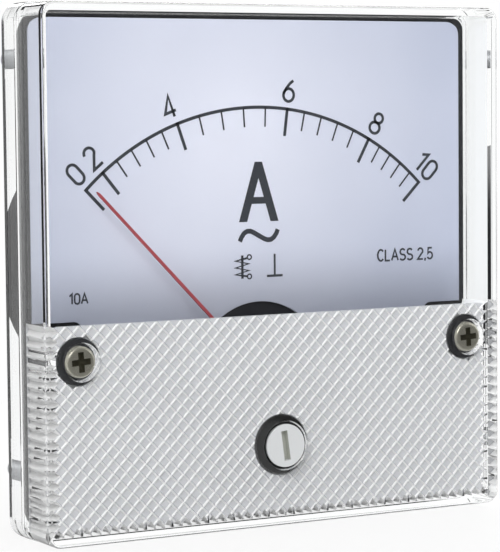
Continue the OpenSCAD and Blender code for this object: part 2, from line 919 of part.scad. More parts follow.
// Arm, hub and tail in one stamping; the tail's rod carries the balance weight
module pointer() {
    color([0.72, 0.2, 0.2])
        at_pivot()
            rotate([0, rest_angle, 0])
                difference() {
                    union() {
                        slab(pointer_front_y, pointer_back_y) {
                            circle(r = hub_r);
                            polygon([
                                [-0.9 * pointer_w, 0],
                                [-0.45 * pointer_w, pointer_len],
                                [0.45 * pointer_w, pointer_len],
                                [0.9 * pointer_w, 0]
                            ]);
                            translate([-0.3, -tail_len])
                                square([0.6, tail_len]);
                        }
                        bar(hub_r - 0.5, pointer_front_y - 0.15, pointer_back_y + 0.6);
                    }
                    bar(spindle_r + fit_gap, pointer_front_y - 1, pointer_back_y + 1);
                }
}

// Sleeve on the tail's rod, with a square hole for it
module balance_weights() {
    mid_y = (pointer_front_y + pointer_back_y) / 2;
    color([0.85, 0.83, 0.8])
        at_pivot()
            rotate([0, rest_angle, 0])
                translate([0, mid_y, -tail_len])
                    difference() {
                        cylinder(h = weight_len, r = weight_r);
                        cube([0.6 + 2 * fit_gap, pointer_t + 2 * fit_gap, 3 * weight_len], center = true);
                    }
}

// Curved iron sheet on an arm and collar, opposite the pointer, which it helps to balance
module moving_vane() {
    color([0.5, 0.5, 0.52])
        at_pivot() {
            slab(frame_back_y + moving_vane_inset, bobbin_back_y - moving_vane_inset)
                difference() {
                    slice(moving_vane_r, moving_vane_mid - moving_vane_half,
                        moving_vane_mid + moving_vane_half);
                    circle(r = moving_vane_r - moving_vane_t);
                }
            slab(frame_back_y + vane_arm_inset, bobbin_back_y - vane_arm_inset)
                difference() {
                    union() {
                        circle(r = vane_collar_r);
                        slice(moving_vane_r - 0.1, moving_vane_mid - vane_arm_half,
                            moving_vane_mid + vane_arm_half);
                    }
                    circle(r = spindle_r + fit_gap);
                }
        }
}

module damping_vane() {
    color([0.82, 0.83, 0.85])
        at_pivot() {
            slab(vane_front_y, vane_back_y)
                difference() {
                    union() {
                        slice(vane_r, rest_angle - vane_span / 2, rest_angle + vane_span / 2);
                        circle(r = 1.8);
                    }
                    circle(r = spindle_r + fit_gap);
                    for (turn = [-1, 1])
                        rotate(-rest_angle + turn * 11)
                            translate([0, 4])
                                circle(r = 0.7);
                }
            slab(vane_front_y - 0.5, vane_front_y + 0.1)
                ring(1.2, spindle_r + fit_gap);
        }
}

// ---------- Zero adjustment ----------

module adjuster_bush() {
    color([0.12, 0.12, 0.14])
        slab(window_y, bush_back_y)
            translate([0, adjuster_z])
                ring(bush_r, adjuster_shaft_r + run_gap);
}

module zero_adjuster() {
    color([0.9, 0.9, 0.9])
        translate([0, 0, adjuster_z])
            difference() {
                union() {
                    bar(adjuster_r, disc_front_y + 0.2, disc_back_y);
                    cone(adjuster_r - 0.2, adjuster_r, disc_front_y, disc_front_y + 0.2);
                    bar(adjuster_shaft_r, disc_back_y - 0.1, bush_back_y + 0.1);
                    bar(adjuster_shaft_r + 0.3, bush_back_y + run_gap, flange_back_y);
                    bar(pin_r, flange_back_y - 0.1, pin_end_y, 0, eccentric);
                }
                translate([0, disc_front_y + 0.4, 0])
                    rotate([0, slot_angle, 0])
                        cube([slot_w, 1.2, slot_len], center = true);
            }
}

// Ring round the front bearing, arm down to a fork, and the post that holds the hairspring
module zero_lever() {
    arm_w = 1.6;
    fork_cheek = 0.7;
    slot_half = pin_r + fork_gap;
    fork_end = lever_reach - eccentric + 3 * pin_r;
    fork_len = fork_end - lever_reach + eccentric + 4 * pin_r;
    color([0.8, 0.68, 0.38])
        at_pivot() {
            slab(lever_front_y, lever_back_y)
                difference() {
                    union() {
                        circle(r = bearing_r + arm_w / 2 + 0.4);
                        translate([-arm_w / 2, -fork_end])
                            square([arm_w, fork_end]);
                        translate([-slot_half - fork_cheek, -fork_end])
                            square([2 * (slot_half + fork_cheek), fork_len]);
                    }
                    circle(r = bearing_r + run_gap);
                    translate([-slot_half, -fork_end - 1])
                        square([2 * slot_half, fork_len - fork_cheek + 1]);
                }
            bar(spring_stud_r, lever_back_y - 0.1, spring_back_y, 0, -spring_stud_at);
        }
}

// Flat spiral from the collet out to the post on the zero lever
module hairspring() {
    steps = 108;
    sweep = spring_turns * 360;
    function spiral_r(t) = spring_inner_r + (spring_outer_r - spring_inner_r) * t;
    function spiral_angle(t) = -90 - sweep * (1 - t);
    function spiral_point(t, shift) = (spiral_r(t) + shift) * [cos(spiral_angle(t)), sin(spiral_angle(t))];
    color([0.75, 0.6, 0.4])
        at_pivot()
            slab(spring_front_y, spring_back_y)
                polygon(concat(
                    [for (i = [0 : steps]) spiral_point(i / steps, 0)],
                    [for (i = [steps : -1 : 0]) spiral_point(i / steps, spring_strip)]
                ));
}

// ---------- Terminals ----------

module terminal_stud(side) {
    x = side * terminal_x;
    chamfer_y = terminal_end_y - terminal_chamfer;
    color([0.85, 0.72, 0.4]) {
        hex_bar(head_af, term_head_front_y, tag_front_y, x, terminal_z);
        bar(terminal_r, tag_front_y - 0.1, nut_front_end_y, x, terminal_z);
        bar(mesh_r, nut_front_end_y - 0.1, nut_back_end_y + thread_gap + 0.1, x, terminal_z);
        bar(terminal_r, nut_back_end_y + thread_gap, chamfer_y, x, terminal_z);
        cone(terminal_r, terminal_r - terminal_chamfer, chamfer_y, terminal_end_y, x, terminal_z);
    }
}

module terminal_washer(side) {
    color([0.85, 0.72, 0.4])
        slab(pad_back_y, pad_back_y + washer_t)
            translate([side * terminal_x, terminal_z])
                ring(washer_r, terminal_r + 0.15);
}

// Split spring washer
module terminal_lock_washer(side) {
    color([0.7, 0.7, 0.72])
        slab(pad_back_y + washer_t, pad_back_y + washer_t + lock_t)
            translate([side * terminal_x, terminal_z])
                difference() {
                    ring(lock_r, terminal_r + 0.1);
                    rotate(20)
                        translate([-0.2, terminal_r / 2])
                            square([0.4, lock_r]);
                }
}

module terminal_nut(side) {
    x = side * terminal_x;
    color([0.85, 0.72, 0.4])
        difference() {
            hex_bar(head_af, nut_front_end_y, nut_back_end_y, x, terminal_z);
            bar(mesh_r + fit_gap, nut_front_end_y - 1, nut_back_end_y + 1, x, terminal_z);
        }
}

// Tag under the stud's head and the wire from it to the winding
module coil_lead(side) {
    x = side * terminal_x;
    from_coil = [side * sin(49), 0, cos(49)];
    lead_y = bobbin_back_y - flange_t - 1.5;
    pivot = [0, lead_y, pivot_z];
    out = pivot + (winding_r + 3.2) * from_coil;
    tail = [x - side * 1.2, tag_front_y + tag_t / 2, terminal_z - 6];
    color([0.72, 0.36, 0.18]) {
        slab(tag_front_y, term_boss_front_y) {
            translate([x, terminal_z])
                ring(3.6, terminal_r + 0.1);
            translate([x - side * 1.2, terminal_z - 4.9])
                square([1.6, 3.4], center = true);
        }
        wire(
            rounded_path([pivot + (winding_r + run_gap) * from_coil, out, [out[0], tail[1], out[2]], tail], 1.6),
            lead_r,
            [-side * 0.9, 0, 0.5]
        );
    }
}

// ---------- Nodes ----------

front_cover();
masking_film();
cover_screw(-1);  // cover_screw_left
cover_screw(1);  // cover_screw_right
rear_case();
dial_plate();
dial_screw(-1);  // dial_screw_left
dial_screw(1);  // dial_screw_right
movement_frame();
frame_screw(-1);  // frame_screw_left
frame_screw(1);  // frame_screw_right
adjuster_bush();
zero_adjuster();
zero_lever();
hairspring();
hairspring_collet();
pointer();
balance_weights();
spindle();
front_bridge();
front_bridge_screw(-1);  // front_bridge_screw_left
front_bridge_screw(1);  // front_bridge_screw_right
front_bearing_screw();
front_lock_nut();
coil_bobbin();
coil_winding();
fixed_vane();
moving_vane();
damping_vane();
brake_magnet();
rear_bridge();
rear_bridge_screw(-1);  // rear_bridge_screw_left
rear_bridge_screw(1);  // rear_bridge_screw_right
rear_bearing_screw();
rear_lock_nut();
coil_lead(-1);  // coil_lead_left
coil_lead(1);  // coil_lead_right
terminal_stud(-1);  // terminal_stud_left
terminal_stud(1);  // terminal_stud_right
terminal_washer(-1);  // terminal_washer_left
terminal_washer(1);  // terminal_washer_right
terminal_lock_washer(-1);  // terminal_lock_washer_left
terminal_lock_washer(1);  // terminal_lock_washer_right
terminal_nut(-1);  // terminal_nut_left
terminal_nut(1);  // terminal_nut_right
mounting_stud(-1, -1);  // mounting_stud_1
mounting_stud(1, -1);  // mounting_stud_2
mounting_stud(-1, 1);  // mounting_stud_3
mounting_stud(1, 1);  // mounting_stud_4
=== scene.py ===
"""Looks of the square panel meter: clear cover, dial, movement, round case and fixings.

All sizes are in millimetres in the part's own frame: X to the right, Y from the face
towards the terminals, Z up. The meshes are turned to metres when they are finished.
"""

import logging
import math
from dataclasses import dataclass
from enum import Enum, IntEnum
from typing import Any, Callable, Iterator, Protocol, Sequence

import bmesh
import bpy
from mathutils import Matrix, Vector


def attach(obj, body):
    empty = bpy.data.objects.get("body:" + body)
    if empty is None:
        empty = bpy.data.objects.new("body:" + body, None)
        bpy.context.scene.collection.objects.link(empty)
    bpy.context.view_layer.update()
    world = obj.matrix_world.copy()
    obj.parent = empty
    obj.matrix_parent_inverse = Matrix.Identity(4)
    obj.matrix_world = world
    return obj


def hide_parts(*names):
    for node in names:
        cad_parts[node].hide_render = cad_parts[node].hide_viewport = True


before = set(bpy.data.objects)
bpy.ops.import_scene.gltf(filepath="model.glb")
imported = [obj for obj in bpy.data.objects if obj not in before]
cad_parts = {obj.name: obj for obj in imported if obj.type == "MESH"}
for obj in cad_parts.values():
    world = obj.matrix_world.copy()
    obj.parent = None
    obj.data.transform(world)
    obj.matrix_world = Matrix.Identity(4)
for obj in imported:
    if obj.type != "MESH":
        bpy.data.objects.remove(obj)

MM = 0.001
log = logging.getLogger("panel_meter")

Point = tuple[float, float]
Spot = tuple[float, float, float]
Loop = list[Spot]
Tree = bpy.types.NodeTree
Node = bpy.types.Node
Socket = bpy.types.NodeSocket
Piece = bpy.types.Object

SIDES = (("left", -1), ("right", 1))

# Axes along Y that several pieces share, in X and Z; the screw's is the right one
PIVOT: Point = (0.0, -17.5)
ADJUSTER_AT: Point = (0.0, -27.4)
COVER_SCREW_AT: Point = (34.0, -12.6)

# How near in metres the corners of CAD triangles are one, and how flat in degrees two
# of them have to meet to be one face
MERGE_M = 2e-6
FLAT_DEG = 0.8


# ---------- Colours and nodes ----------


def linear(code: str) -> tuple[float, float, float, float]:
    """Turn an sRGB hex value into a linear colour.

    Args:
        code: Six hex digits with a leading hash.

    Returns:
        Red, green, blue and alpha, all from 0 to 1.
    """
    shares = [int(code[i : i + 2], 16) / 255 for i in (1, 3, 5)]
    red, green, blue = (
        s / 12.92 if s <= 0.04045 else ((s + 0.055) / 1.055) ** 2.4 for s in shares
    )
    return red, green, blue, 1.0


WHITE = linear("#FFFFFF")


def add(
    tree: Tree, kind: str, inputs: dict[str | int, Any] | None = None, **settings: Any
) -> Node:
    """Add one node with its settings and links.

    Args:
        tree: The node tree that gets the node.
        kind: The node's type name.
        inputs: Values or sockets for its inputs, by name or number.
        settings: Values for the node's own properties.

    Returns:
        The new node.
    """
    node = tree.nodes.new(kind)
    for name, value in settings.items():
        setattr(node, name, value)
    for key, value in (inputs or {}).items():
        if isinstance(value, Socket):
            tree.links.new(value, node.inputs[key])
        else:
            node.inputs[key].default_value = value
    return node


def new_material(name: str) -> tuple[bpy.types.Material, Tree]:
    """Make an empty node material.

    Args:
        name: The material's name.

    Returns:
        The material and its cleared node tree.
    """
    material = bpy.data.materials.new(name)
    material.use_nodes = True
    material.node_tree.nodes.clear()
    return material, material.node_tree


class Grain(Enum):
    """How a surface was made, which sets its fine pattern."""

    MOULDED = "moulded"
    ROLLED = "rolled"
    TURNED = "turned"
    PAINTED = "painted"
    SINTERED = "sintered"


@dataclass(frozen=True)
class Finish:
    """One real material with the marks of how it was made.

    grain_mm is the real spacing of its pattern and depth_mm the height of it; tone is
    how far the colour drifts over the surface, and wear how far the roughness does.
    clouds is how many drifts of the colour lie in a metre, about a centimetre each.
    """

    name: str
    colour: str
    roughness: float
    metallic: float = 0.0
    ior: float = 1.5
    grain: Grain = Grain.MOULDED
    grain_mm: float = 0.4
    depth_mm: float = 0.004
    tone: float = 0.06
    wear: float = 0.08
    coat: float = 0.0
    coat_roughness: float = 0.08
    clouds: float = 90.0

    def height(self, tree: Tree, centre: Point) -> Socket:
        """Add the fine pattern of the making.

        Args:
            tree: The material's tree.
            centre: Axis of the turned marks, in X and Z.

        Returns:
            The socket with the pattern's height, from 0 to 1.
        """
        per_metre = 1000 / self.grain_mm
        place = add(tree, "ShaderNodeTexCoord").outputs["Object"]
        if self.grain is Grain.TURNED:
            shift = (-centre[0] * MM, 0.0, -centre[1] * MM)
            place = add(
                tree, "ShaderNodeMapping", {"Vector": place, "Location": shift}
            ).outputs[0]
            # One ring of the wave lies 2 pi / 20 apart at a scale of 1
            return add(
                tree,
                "ShaderNodeTexWave",
                {
                    "Vector": place,
                    "Scale": math.pi / 10 * per_metre,
                    "Distortion": 1.5,
                    "Detail": 2.0,
                    "Detail Scale": 0.4,
                },
                wave_type="RINGS",
                rings_direction="Y",
            ).outputs["Fac"]
        if self.grain is Grain.ROLLED:
            # Rolling draws the pattern out along X to 25 times its width
            place = add(
                tree,
                "ShaderNodeMapping",
                {"Vector": place, "Scale": (0.04, 1.0, 1.0)},
            ).outputs[0]
        if self.grain is Grain.SINTERED:
            return add(
                tree,
                "ShaderNodeTexVoronoi",
                {"Vector": place, "Scale": per_metre, "Randomness": 1.0},
            ).outputs["Distance"]
        return add(
            tree,
            "ShaderNodeTexNoise",
            {"Vector": place, "Scale": per_metre, "Detail": 3.0, "Roughness": 0.6},
        ).outputs["Fac"]

    def material(self, centre: Point = (0.0, 0.0)) -> bpy.types.Material:
        """Build the material.

        Args:
            centre: Axis of the turned marks, in X and Z.

        Returns:
            The finished material.
        """
        material, tree = new_material(self.name)
        height = self.height(tree, centre)
        place = add(tree, "ShaderNodeTexCoord").outputs["Object"]
        cloud = add(
            tree,
            "ShaderNodeTexNoise",
            {"Vector": place, "Scale": self.clouds, "Detail": 4.0, "Roughness": 0.55},
        ).outputs["Fac"]
        red, green, blue, _ = linear(self.colour)
        dark, light = (
            (red * share, green * share, blue * share, 1.0)
            for share in (1 - self.tone, 1 + self.tone)
        )
        # The inputs of the colour mix share their names with those of other kinds of
        # mix, so they go by number
        colour = add(
            tree, "ShaderNodeMix", {0: cloud, 6: dark, 7: light}, data_type="RGBA"
        )
        rough = add(
            tree,
            "ShaderNodeMapRange",
            {
                "Value": height,
                "To Min": max(0.02, self.roughness - self.wear),
                "To Max": min(1.0, self.roughness + self.wear),
            },
        ).outputs["Result"]
        bump = add(
            tree,
            "ShaderNodeBump",
            {"Height": height, "Distance": self.depth_mm * MM, "Strength": 1.0},
        ).outputs["Normal"]
        shader = add(
            tree,
            "ShaderNodeBsdfPrincipled",
            {
                "Base Color": colour.outputs[2],
                "Metallic": self.metallic,
                "Roughness": rough,
                "IOR": self.ior,
                "Normal": bump,
                "Coat Weight": self.coat,
                "Coat Roughness": self.coat_roughness,
            },
        )
        add(tree, "ShaderNodeOutputMaterial", {"Surface": shader.outputs[0]})
        return material


BLACK_ABS = Finish(  # moulded ABS: near black with a soft broad shine
    "black_moulded_abs", "#15161A", 0.36, grain_mm=0.35, depth_mm=0.006, tone=0.1
)
BUSH_NYLON = Finish(  # polished nylon ring: deep black with a sharp highlight
    "black_glossy_nylon", "#070708", 0.16, grain_mm=0.8, depth_mm=0.003, wear=0.04
)
WHITE_NYLON = Finish(  # moulded nylon: milky white, slightly soft
    "white_moulded_nylon", "#CFD1D2", 0.34, grain_mm=0.5, depth_mm=0.004, tone=0.03
)
SLOT_PAINTED_SHADE = Finish(  # painted shade on the floor and walls of the slot, a grey olive
    "slot_painted_shade", "#B4B6AE", 0.5, grain_mm=0.5, tone=0.08
)
PASSIVATED_STEEL = Finish(  # zinc plated, passivated: grey with a faint yellow cast
    "zinc_passivated_steel",
    "#B9B7AA",
    0.36,
    metallic=0.85,
    grain=Grain.TURNED,
    grain_mm=0.12,
    depth_mm=0.002,
    tone=0.08,
    wear=0.12,
)
ZINC = Finish(  # bright zinc plating: cool grey, faint tool rings
    "bright_zinc_plating",
    "#D8DADD",
    0.45,
    metallic=0.6,
    grain=Grain.TURNED,
    grain_mm=0.15,
    depth_mm=0.002,
    tone=0.08,
    wear=0.12,
)
RECESS_PAINTED_SHADE = Finish(  # painted shade in the recess, a dark olive grey
    "recess_painted_shade", "#4A483A", 0.5, metallic=0.6, grain_mm=0.2, tone=0.15
)
BRASS = Finish(  # turned brass: warm yellow, fine tool rings
    "turned_brass",
    "#C9AE6C",
    0.26,
    metallic=1.0,
    grain=Grain.TURNED,
    grain_mm=0.12,
    depth_mm=0.0015,
    tone=0.06,
)
SPRING_BRONZE = Finish(  # rolled phosphor bronze strip: reddish gold
    "rolled_phosphor_bronze", "#B98A55", 0.25, metallic=1.0, grain=Grain.ROLLED
)
BRIGHT_STEEL = Finish(  # cold rolled steel sheet: grey, streaked along the rolling
    "rolled_steel_sheet",
    "#B4B5B7",
    0.32,
    metallic=1.0,
    grain=Grain.ROLLED,
    grain_mm=0.12,
    depth_mm=0.0015,
)
BLACKENED_STEEL = Finish(  # blackened steel plate: dark, dry, faint mottling
    "blackened_steel_plate", "#202127", 0.42, metallic=0.3, grain_mm=0.25, tone=0.12
)
SOFT_IRON = Finish(  # annealed soft iron: dull dark grey
    "annealed_soft_iron", "#77787C", 0.48, metallic=1.0, grain=Grain.ROLLED
)
VANE_ALUMINIUM = Finish(  # thin rolled aluminium: pale and bright
    "rolled_aluminium_foil", "#D3D5D8", 0.28, metallic=1.0, grain=Grain.ROLLED
)
FERRITE = Finish(  # sintered ferrite: charcoal, dry, fine crystalline specks
    "sintered_ferrite", "#3A3A3D", 0.7, grain=Grain.SINTERED, grain_mm=0.15
)
IVORY_NYLON = Finish(  # unfilled moulded nylon: ivory, waxy
    "ivory_moulded_nylon", "#D9D3BC", 0.4, grain_mm=0.6, tone=0.04
)
ENAMELLED_COPPER = Finish(  # enamelled copper wire: copper under a clear amber coat
    "enamelled_copper_wire",
    "#B9683A",
    0.3,
    metallic=1.0,
    grain_mm=0.5,
    coat=0.6,
    tone=0.12,
)
RED_LACQUER = Finish(  # sprayed lacquer on aluminium: matt brick red
    "red_sprayed_lacquer", "#A83F47", 0.45, grain=Grain.PAINTED, grain_mm=0.3, tone=0.05
)
PRINT_INK = Finish(  # pad-printed ink: dark slate grey, dry, a little uneven
    "pad_print_ink", "#2D3038", 0.6, grain=Grain.PAINTED, grain_mm=0.15, tone=0.08
)
PEARL_CELL = Finish(  # pearl lacquer on the flats of the cells: pale grey, silky
    "pearl_lacquer_flat", "#D3D4D7", 0.4, grain_mm=0.3, depth_mm=0.004, tone=0.05
)
PEARL_SHADE = Finish(  # painted shade: a darker grey on the slopes that face away from the light
    "pearl_lacquer_shade", "#BDBEC3", 0.4, grain_mm=0.3, depth_mm=0.004, tone=0.05
)
GROOVE_PAINTED_HIGHLIGHT = Finish(  # painted highlight: white in the grooves between the cells, where the ridges catch the light
    "groove_painted_highlight", "#FCFCFC", 0.35, grain_mm=0.5, depth_mm=0.002, tone=0.01
)
FILM = Finish(  # pale filled polyester film: even, matt
    "pale_polyester_film", "#DADBDD", 0.5, grain_mm=0.4, depth_mm=0.002, tone=0.02
)


@dataclass(frozen=True)
class ClearAcrylic:
    """Polished clear acrylic: water clear, with sharp bright edges and reflections."""

    name: str = "clear_polished_acrylic"
    colour: str = "#FEFFFF"
    ior: float = 1.49
    roughness: float = 0.0

    def material(self) -> bpy.types.Material:
        """Build the material, which lets lamps light what stands behind it.

        Returns:
            The finished material.
        """
        material, tree = new_material(self.name)
        shader = add(
            tree,
            "ShaderNodeBsdfPrincipled",
            {
                "Base Color": linear(self.colour),
                "Roughness": self.roughness,
                "IOR": self.ior,
                "Transmission Weight": 1.0,
            },
        )
        clear = add(tree, "ShaderNodeBsdfTransparent")
        path = add(tree, "ShaderNodeLightPath")
        mix = add(
            tree,
            "ShaderNodeMixShader",
            {
                0: path.outputs["Is Shadow Ray"],
                1: shader.outputs[0],
                2: clear.outputs[0],
            },
        )
        add(tree, "ShaderNodeOutputMaterial", {"Surface": mix.outputs[0]})
        return material


@dataclass(frozen=True)
class DialEnamelPaintedLight:
    """Stoved enamel on aluminium sheet: lavender white, with painted light that is
    brighter round the middle.

    The colour goes from middle to edge over radius_mm round its centre, painted light
    that is brightest in the middle and painted shade at the edge, and falls to
    low_share, painted shade, from the upper to the lower plane of low_z. clouds and
    peel are how many clouds of the sprayed coat and ripples of the dried one lie in a
    metre; cloud_share is how strong the clouds are, and peel_mm how high the ripples.
    """

    name: str = "dial_enamel_painted_light"
    middle: str = "#E7E9F7"
    edge: str = "#BCC2D6"
    radius_mm: float = 52.0
    centre: Point = (-5.5, 20.0)
    inner_share: float = 0.2
    low_share: float = 0.67
    low_z: Point = (-7.5, 4.0)
    clouds: float = 60.0
    cloud_share: float = 0.25
    peel: float = 3000.0
    peel_mm: float = 0.002
    roughness: float = 0.42

    def material(self) -> bpy.types.Material:
        """Build the material with its painted light: bright round the middle, with
        painted shade towards the edges and low down.

        Returns:
            The finished material.
        """
        material, tree = new_material(self.name)
        place = add(tree, "ShaderNodeTexCoord").outputs["Object"]
        size = 1 / (self.radius_mm * MM)
        x, z = (-c * MM * size for c in self.centre)
        local = add(
            tree,
            "ShaderNodeMapping",
            {"Vector": place, "Location": (x, 0.0, z), "Scale": (size, 0.0, size)},
        ).outputs[0]
        away = add(
            tree, "ShaderNodeVectorMath", {0: local}, operation="LENGTH"
        ).outputs["Value"]
        # Enamel laid on by spray: clouds a centimetre or two wide, hardly seen
        cloud = add(
            tree,
            "ShaderNodeTexNoise",
            {"Vector": place, "Scale": self.clouds, "Detail": 2.0},
        ).outputs["Fac"]
        blend = add(
            tree,
            "ShaderNodeMath",
            {0: cloud, 1: self.cloud_share, 2: away},
            operation="MULTIPLY_ADD",
        ).outputs[0]
        # The ramp paints light and shade: brighter round the middle, darker at the edge
        ramp = add(tree, "ShaderNodeValToRGB", {"Fac": blend})
        inner, outer = ramp.color_ramp.elements
        inner.position, inner.color = self.inner_share, linear(self.middle)
        outer.position, outer.color = 1.0, linear(self.edge)
        # Painted shade: the colour is darker low down, where the band shades the sheet
        low = add(
            tree,
            "ShaderNodeMapRange",
            {
                "Value": add(tree, "ShaderNodeSeparateXYZ", {0: place}).outputs["Z"],
                "From Min": self.low_z[0] * MM,
                "From Max": self.low_z[1] * MM,
                "To Min": self.low_share,
                "To Max": 1.0,
            },
            interpolation_type="SMOOTHSTEP",
        ).outputs["Result"]
        colour = add(
            tree,
            "ShaderNodeVectorMath",
            {0: ramp.outputs["Color"], "Scale": low},
            operation="SCALE",
        ).outputs[0]
        # Orange peel of the dried enamel, about a third of a millimetre across
        peel = add(
            tree,
            "ShaderNodeTexNoise",
            {"Vector": place, "Scale": self.peel, "Detail": 1.0},
        ).outputs["Fac"]
        bump = add(
            tree, "ShaderNodeBump", {"Height": peel, "Distance": self.peel_mm * MM}
        ).outputs["Normal"]
        shader = add(
            tree,
            "ShaderNodeBsdfPrincipled",
            {"Base Color": colour, "Roughness": self.roughness, "Normal": bump},
        )
        add(tree, "ShaderNodeOutputMaterial", {"Surface": shader.outputs[0]})
        return material


# ---------- Mesh work ----------


class Shaping(Enum):
    """What one closed form does to another."""

    CUT = "DIFFERENCE"
    JOIN = "UNION"
    TRIM = "INTERSECT"


def on_side(at: Point, sign: int) -> Point:
    """Return a place at the right, or its mirror image at the left for a sign of -1."""
    return sign * at[0], at[1]


def turned(at: Point, turn: float, spot: Point) -> Point:
    """Turn a spot round the origin and carry the origin to its place.

    Args:
        at: Where the origin comes to lie, in X and Z.
        turn: The turn in degrees, clockwise as seen from the face.
        spot: The spot before the turn, in X and Z.

    Returns:
        The spot after it.
    """
    sine, cosine = math.sin(math.radians(turn)), math.cos(math.radians(turn))
    x, z = spot
    return at[0] + x * cosine + z * sine, at[1] - x * sine + z * cosine


def apply_modifiers(obj: Piece) -> Piece:
    """Turn an object's modifiers into plain mesh.

    Args:
        obj: The object, whose modifiers are removed.

    Returns:
        The same object.
    """
    bpy.context.view_layer.update()
    graph = bpy.context.evaluated_depsgraph_get()
    mesh = bpy.data.meshes.new_from_object(
        obj.evaluated_get(graph), preserve_all_data_layers=True, depsgraph=graph
    )
    old = obj.data
    obj.modifiers.clear()
    obj.data = mesh
    mesh.name = obj.name
    bpy.data.meshes.remove(old)
    return obj


def put(name: str, mesh: bpy.types.Mesh) -> Piece:
    """Place a mesh in the scene, with its object at the origin.

    Args:
        name: The object's name.
        mesh: The mesh, in metres.

    Returns:
        The object.
    """
    obj = bpy.data.objects.new(name, mesh)
    bpy.context.scene.collection.objects.link(obj)
    return obj


def from_bmesh(name: str, form: bmesh.types.BMesh) -> Piece:
    """Make an object from a form drawn in millimetres.

    Args:
        name: The piece's name.
        form: The form, which is freed.

    Returns:
        The object, in metres.
    """
    bmesh.ops.scale(form, vec=(MM, MM, MM), verts=form.verts)
    mesh = bpy.data.meshes.new(name)
    form.to_mesh(mesh)
    form.free()
    return put(name, mesh)


def loft(name: str, loops: Sequence[Loop], closed: bool = False) -> Piece:
    """Join loops of equal length by walls, with a cap on each end or end to start.

    Args:
        name: The piece's name.
        loops: Loops in millimetres, in order along the form.
        closed: Whether the last loop joins the first instead of two caps.

    Returns:
        The object, its faces outwards.
    """
    form = bmesh.new()
    rows = [[form.verts.new(spot) for spot in loop] for loop in loops]
    count = len(rows[0])
    following = rows[1:] + rows[:1] if closed else rows[1:]
    for low, high in zip(rows, following):
        for i in range(count):
            j = (i + 1) % count
            form.faces.new((low[i], low[j], high[j], high[i]))
    if not closed:
        form.faces.new(rows[0][::-1])
        form.faces.new(rows[-1])
    bmesh.ops.recalc_face_normals(form, faces=form.faces)
    return from_bmesh(name, form)


def block(name: str, outline: Sequence[Point], planes: Sequence[float]) -> Piece:
    """Return the closed block between planes of Y that has an outline in X and Z."""
    return loft(name, [[(x, y, z) for x, z in outline] for y in planes])


def oblong(half_w: float, top: float, low: float) -> list[Point]:
    """Return the corners of an oblong that stands even to both sides of X = 0."""
    return [(-half_w, top), (half_w, top), (half_w, low), (-half_w, low)]


def quarter(radius: float, steps: int) -> list[Point]:
    """Return a rounded edge as distances in from the two faces that it joins.

    Args:
        radius: The edge's radius.
        steps: Faces across the edge.

    Returns:
        For each line along the edge, how far it lies in from the side face and from
        the front face; the first line lies on the front face.
    """
    turns = [math.pi / 2 * step / steps for step in range(steps + 1)]
    return [(radius * (1 - math.sin(t)), radius * (1 - math.cos(t))) for t in turns]


def circle(radius: float, y: float, centre: Point, count: int = 48) -> Loop:
    """Return a loop of points round an axis along Y.

    Args:
        radius: The circle's radius.
        y: Its plane.
        centre: The axis, in X and Z.
        count: Number of points.

    Returns:
        The loop, clockwise from its top as seen from the face.
    """
    turns = [2 * math.pi * i / count for i in range(count)]
    return [
        (centre[0] + radius * math.sin(t), y, centre[1] + radius * math.cos(t))
        for t in turns
    ]


def rounded_square(half: float, radius: float, y: float, steps: int = 10) -> Loop:
    """Return a loop round a square with round corners.

    Args:
        half: Half of the side.
        radius: Corner radius.
        y: Plane of the loop.
        steps: Faces in each corner.

    Returns:
        The loop, clockwise from the upper right corner as seen from the face.
    """
    loop: Loop = []
    straight = half - radius
    for corner, (sx, sz) in enumerate(((1, 1), (1, -1), (-1, -1), (-1, 1))):
        for step in range(steps + 1):
            turn = math.pi / 2 * (corner + step / steps)
            x = sx * straight + radius * math.sin(turn)
            loop.append((x, y, sz * straight + radius * math.cos(turn)))
    return loop


def lathe(
    name: str, profile: Sequence[Point], centre: Point, count: int = 48
) -> Piece:
    """Turn a profile round an axis along Y.

    Args:
        name: The piece's name.
        profile: Radius and plane of each ring, from one end to the other.
        centre: The axis, in X and Z.
        count: Faces round the axis.

    Returns:
        The closed form.
    """
    return loft(name, [circle(radius, y, centre, count) for radius, y in profile])


def sleeve(
    name: str, centre: Point, radii: Point, planes: Point, count: int = 64
) -> Piece:
    """Turn a closed sleeve round an axis along Y.

    Args:
        name: The piece's name.
        centre: The axis, in X and Z.
        radii: Its inner and outer radius.
        planes: Its front and back planes.
        count: Faces round the axis.

    Returns:
        The sleeve.
    """
    inner, outer = radii
    front, back = planes
    corners = ((inner, front), (outer, front), (outer, back), (inner, back))
    loops = [circle(radius, y, centre, count) for radius, y in corners]
    return loft(name, loops, closed=True)


def boolean(obj: Piece, other: Piece, shaping: Shaping) -> Piece:
    """Shape one closed form by another.

    Args:
        obj: The form that changes.
        other: The other form, which is used up.
        shaping: Whether the other form cuts, joins or trims.

    Returns:
        The changed form.
    """
    cut = obj.modifiers.new("cut", "BOOLEAN")
    cut.operation = shaping.value
    cut.solver = "MANIFOLD"
    cut.object = other
    apply_modifiers(obj)
    bpy.data.objects.remove(other)
    return obj


def soften(
    obj: Piece, width: float = 0.0, segments: int = 2, angle: float = 35.0
) -> Piece:
    """Round the sharp edges of a form and shade it.

    Args:
        obj: The form.
        width: Width of the rounding, or 0 for none.
        segments: Faces across the rounding.
        angle: Edges sharper than this are rounded, in degrees.

    Returns:
        The same object as plain mesh.
    """
    obj.data.shade_smooth()
    if width:
        bevel = obj.modifiers.new("round", "BEVEL")
        bevel.width = width * MM
        bevel.segments = segments
        bevel.limit_method = "ANGLE"
        bevel.angle_limit = math.radians(angle)
        bevel.use_clamp_overlap = True
        bevel.miter_outer = "MITER_ARC"
    else:
        obj.data.set_sharp_from_angle(angle=math.radians(angle))
    normals = obj.modifiers.new("shade", "WEIGHTED_NORMAL")
    normals.keep_sharp = True
    normals.weight = 50
    return apply_modifiers(obj)


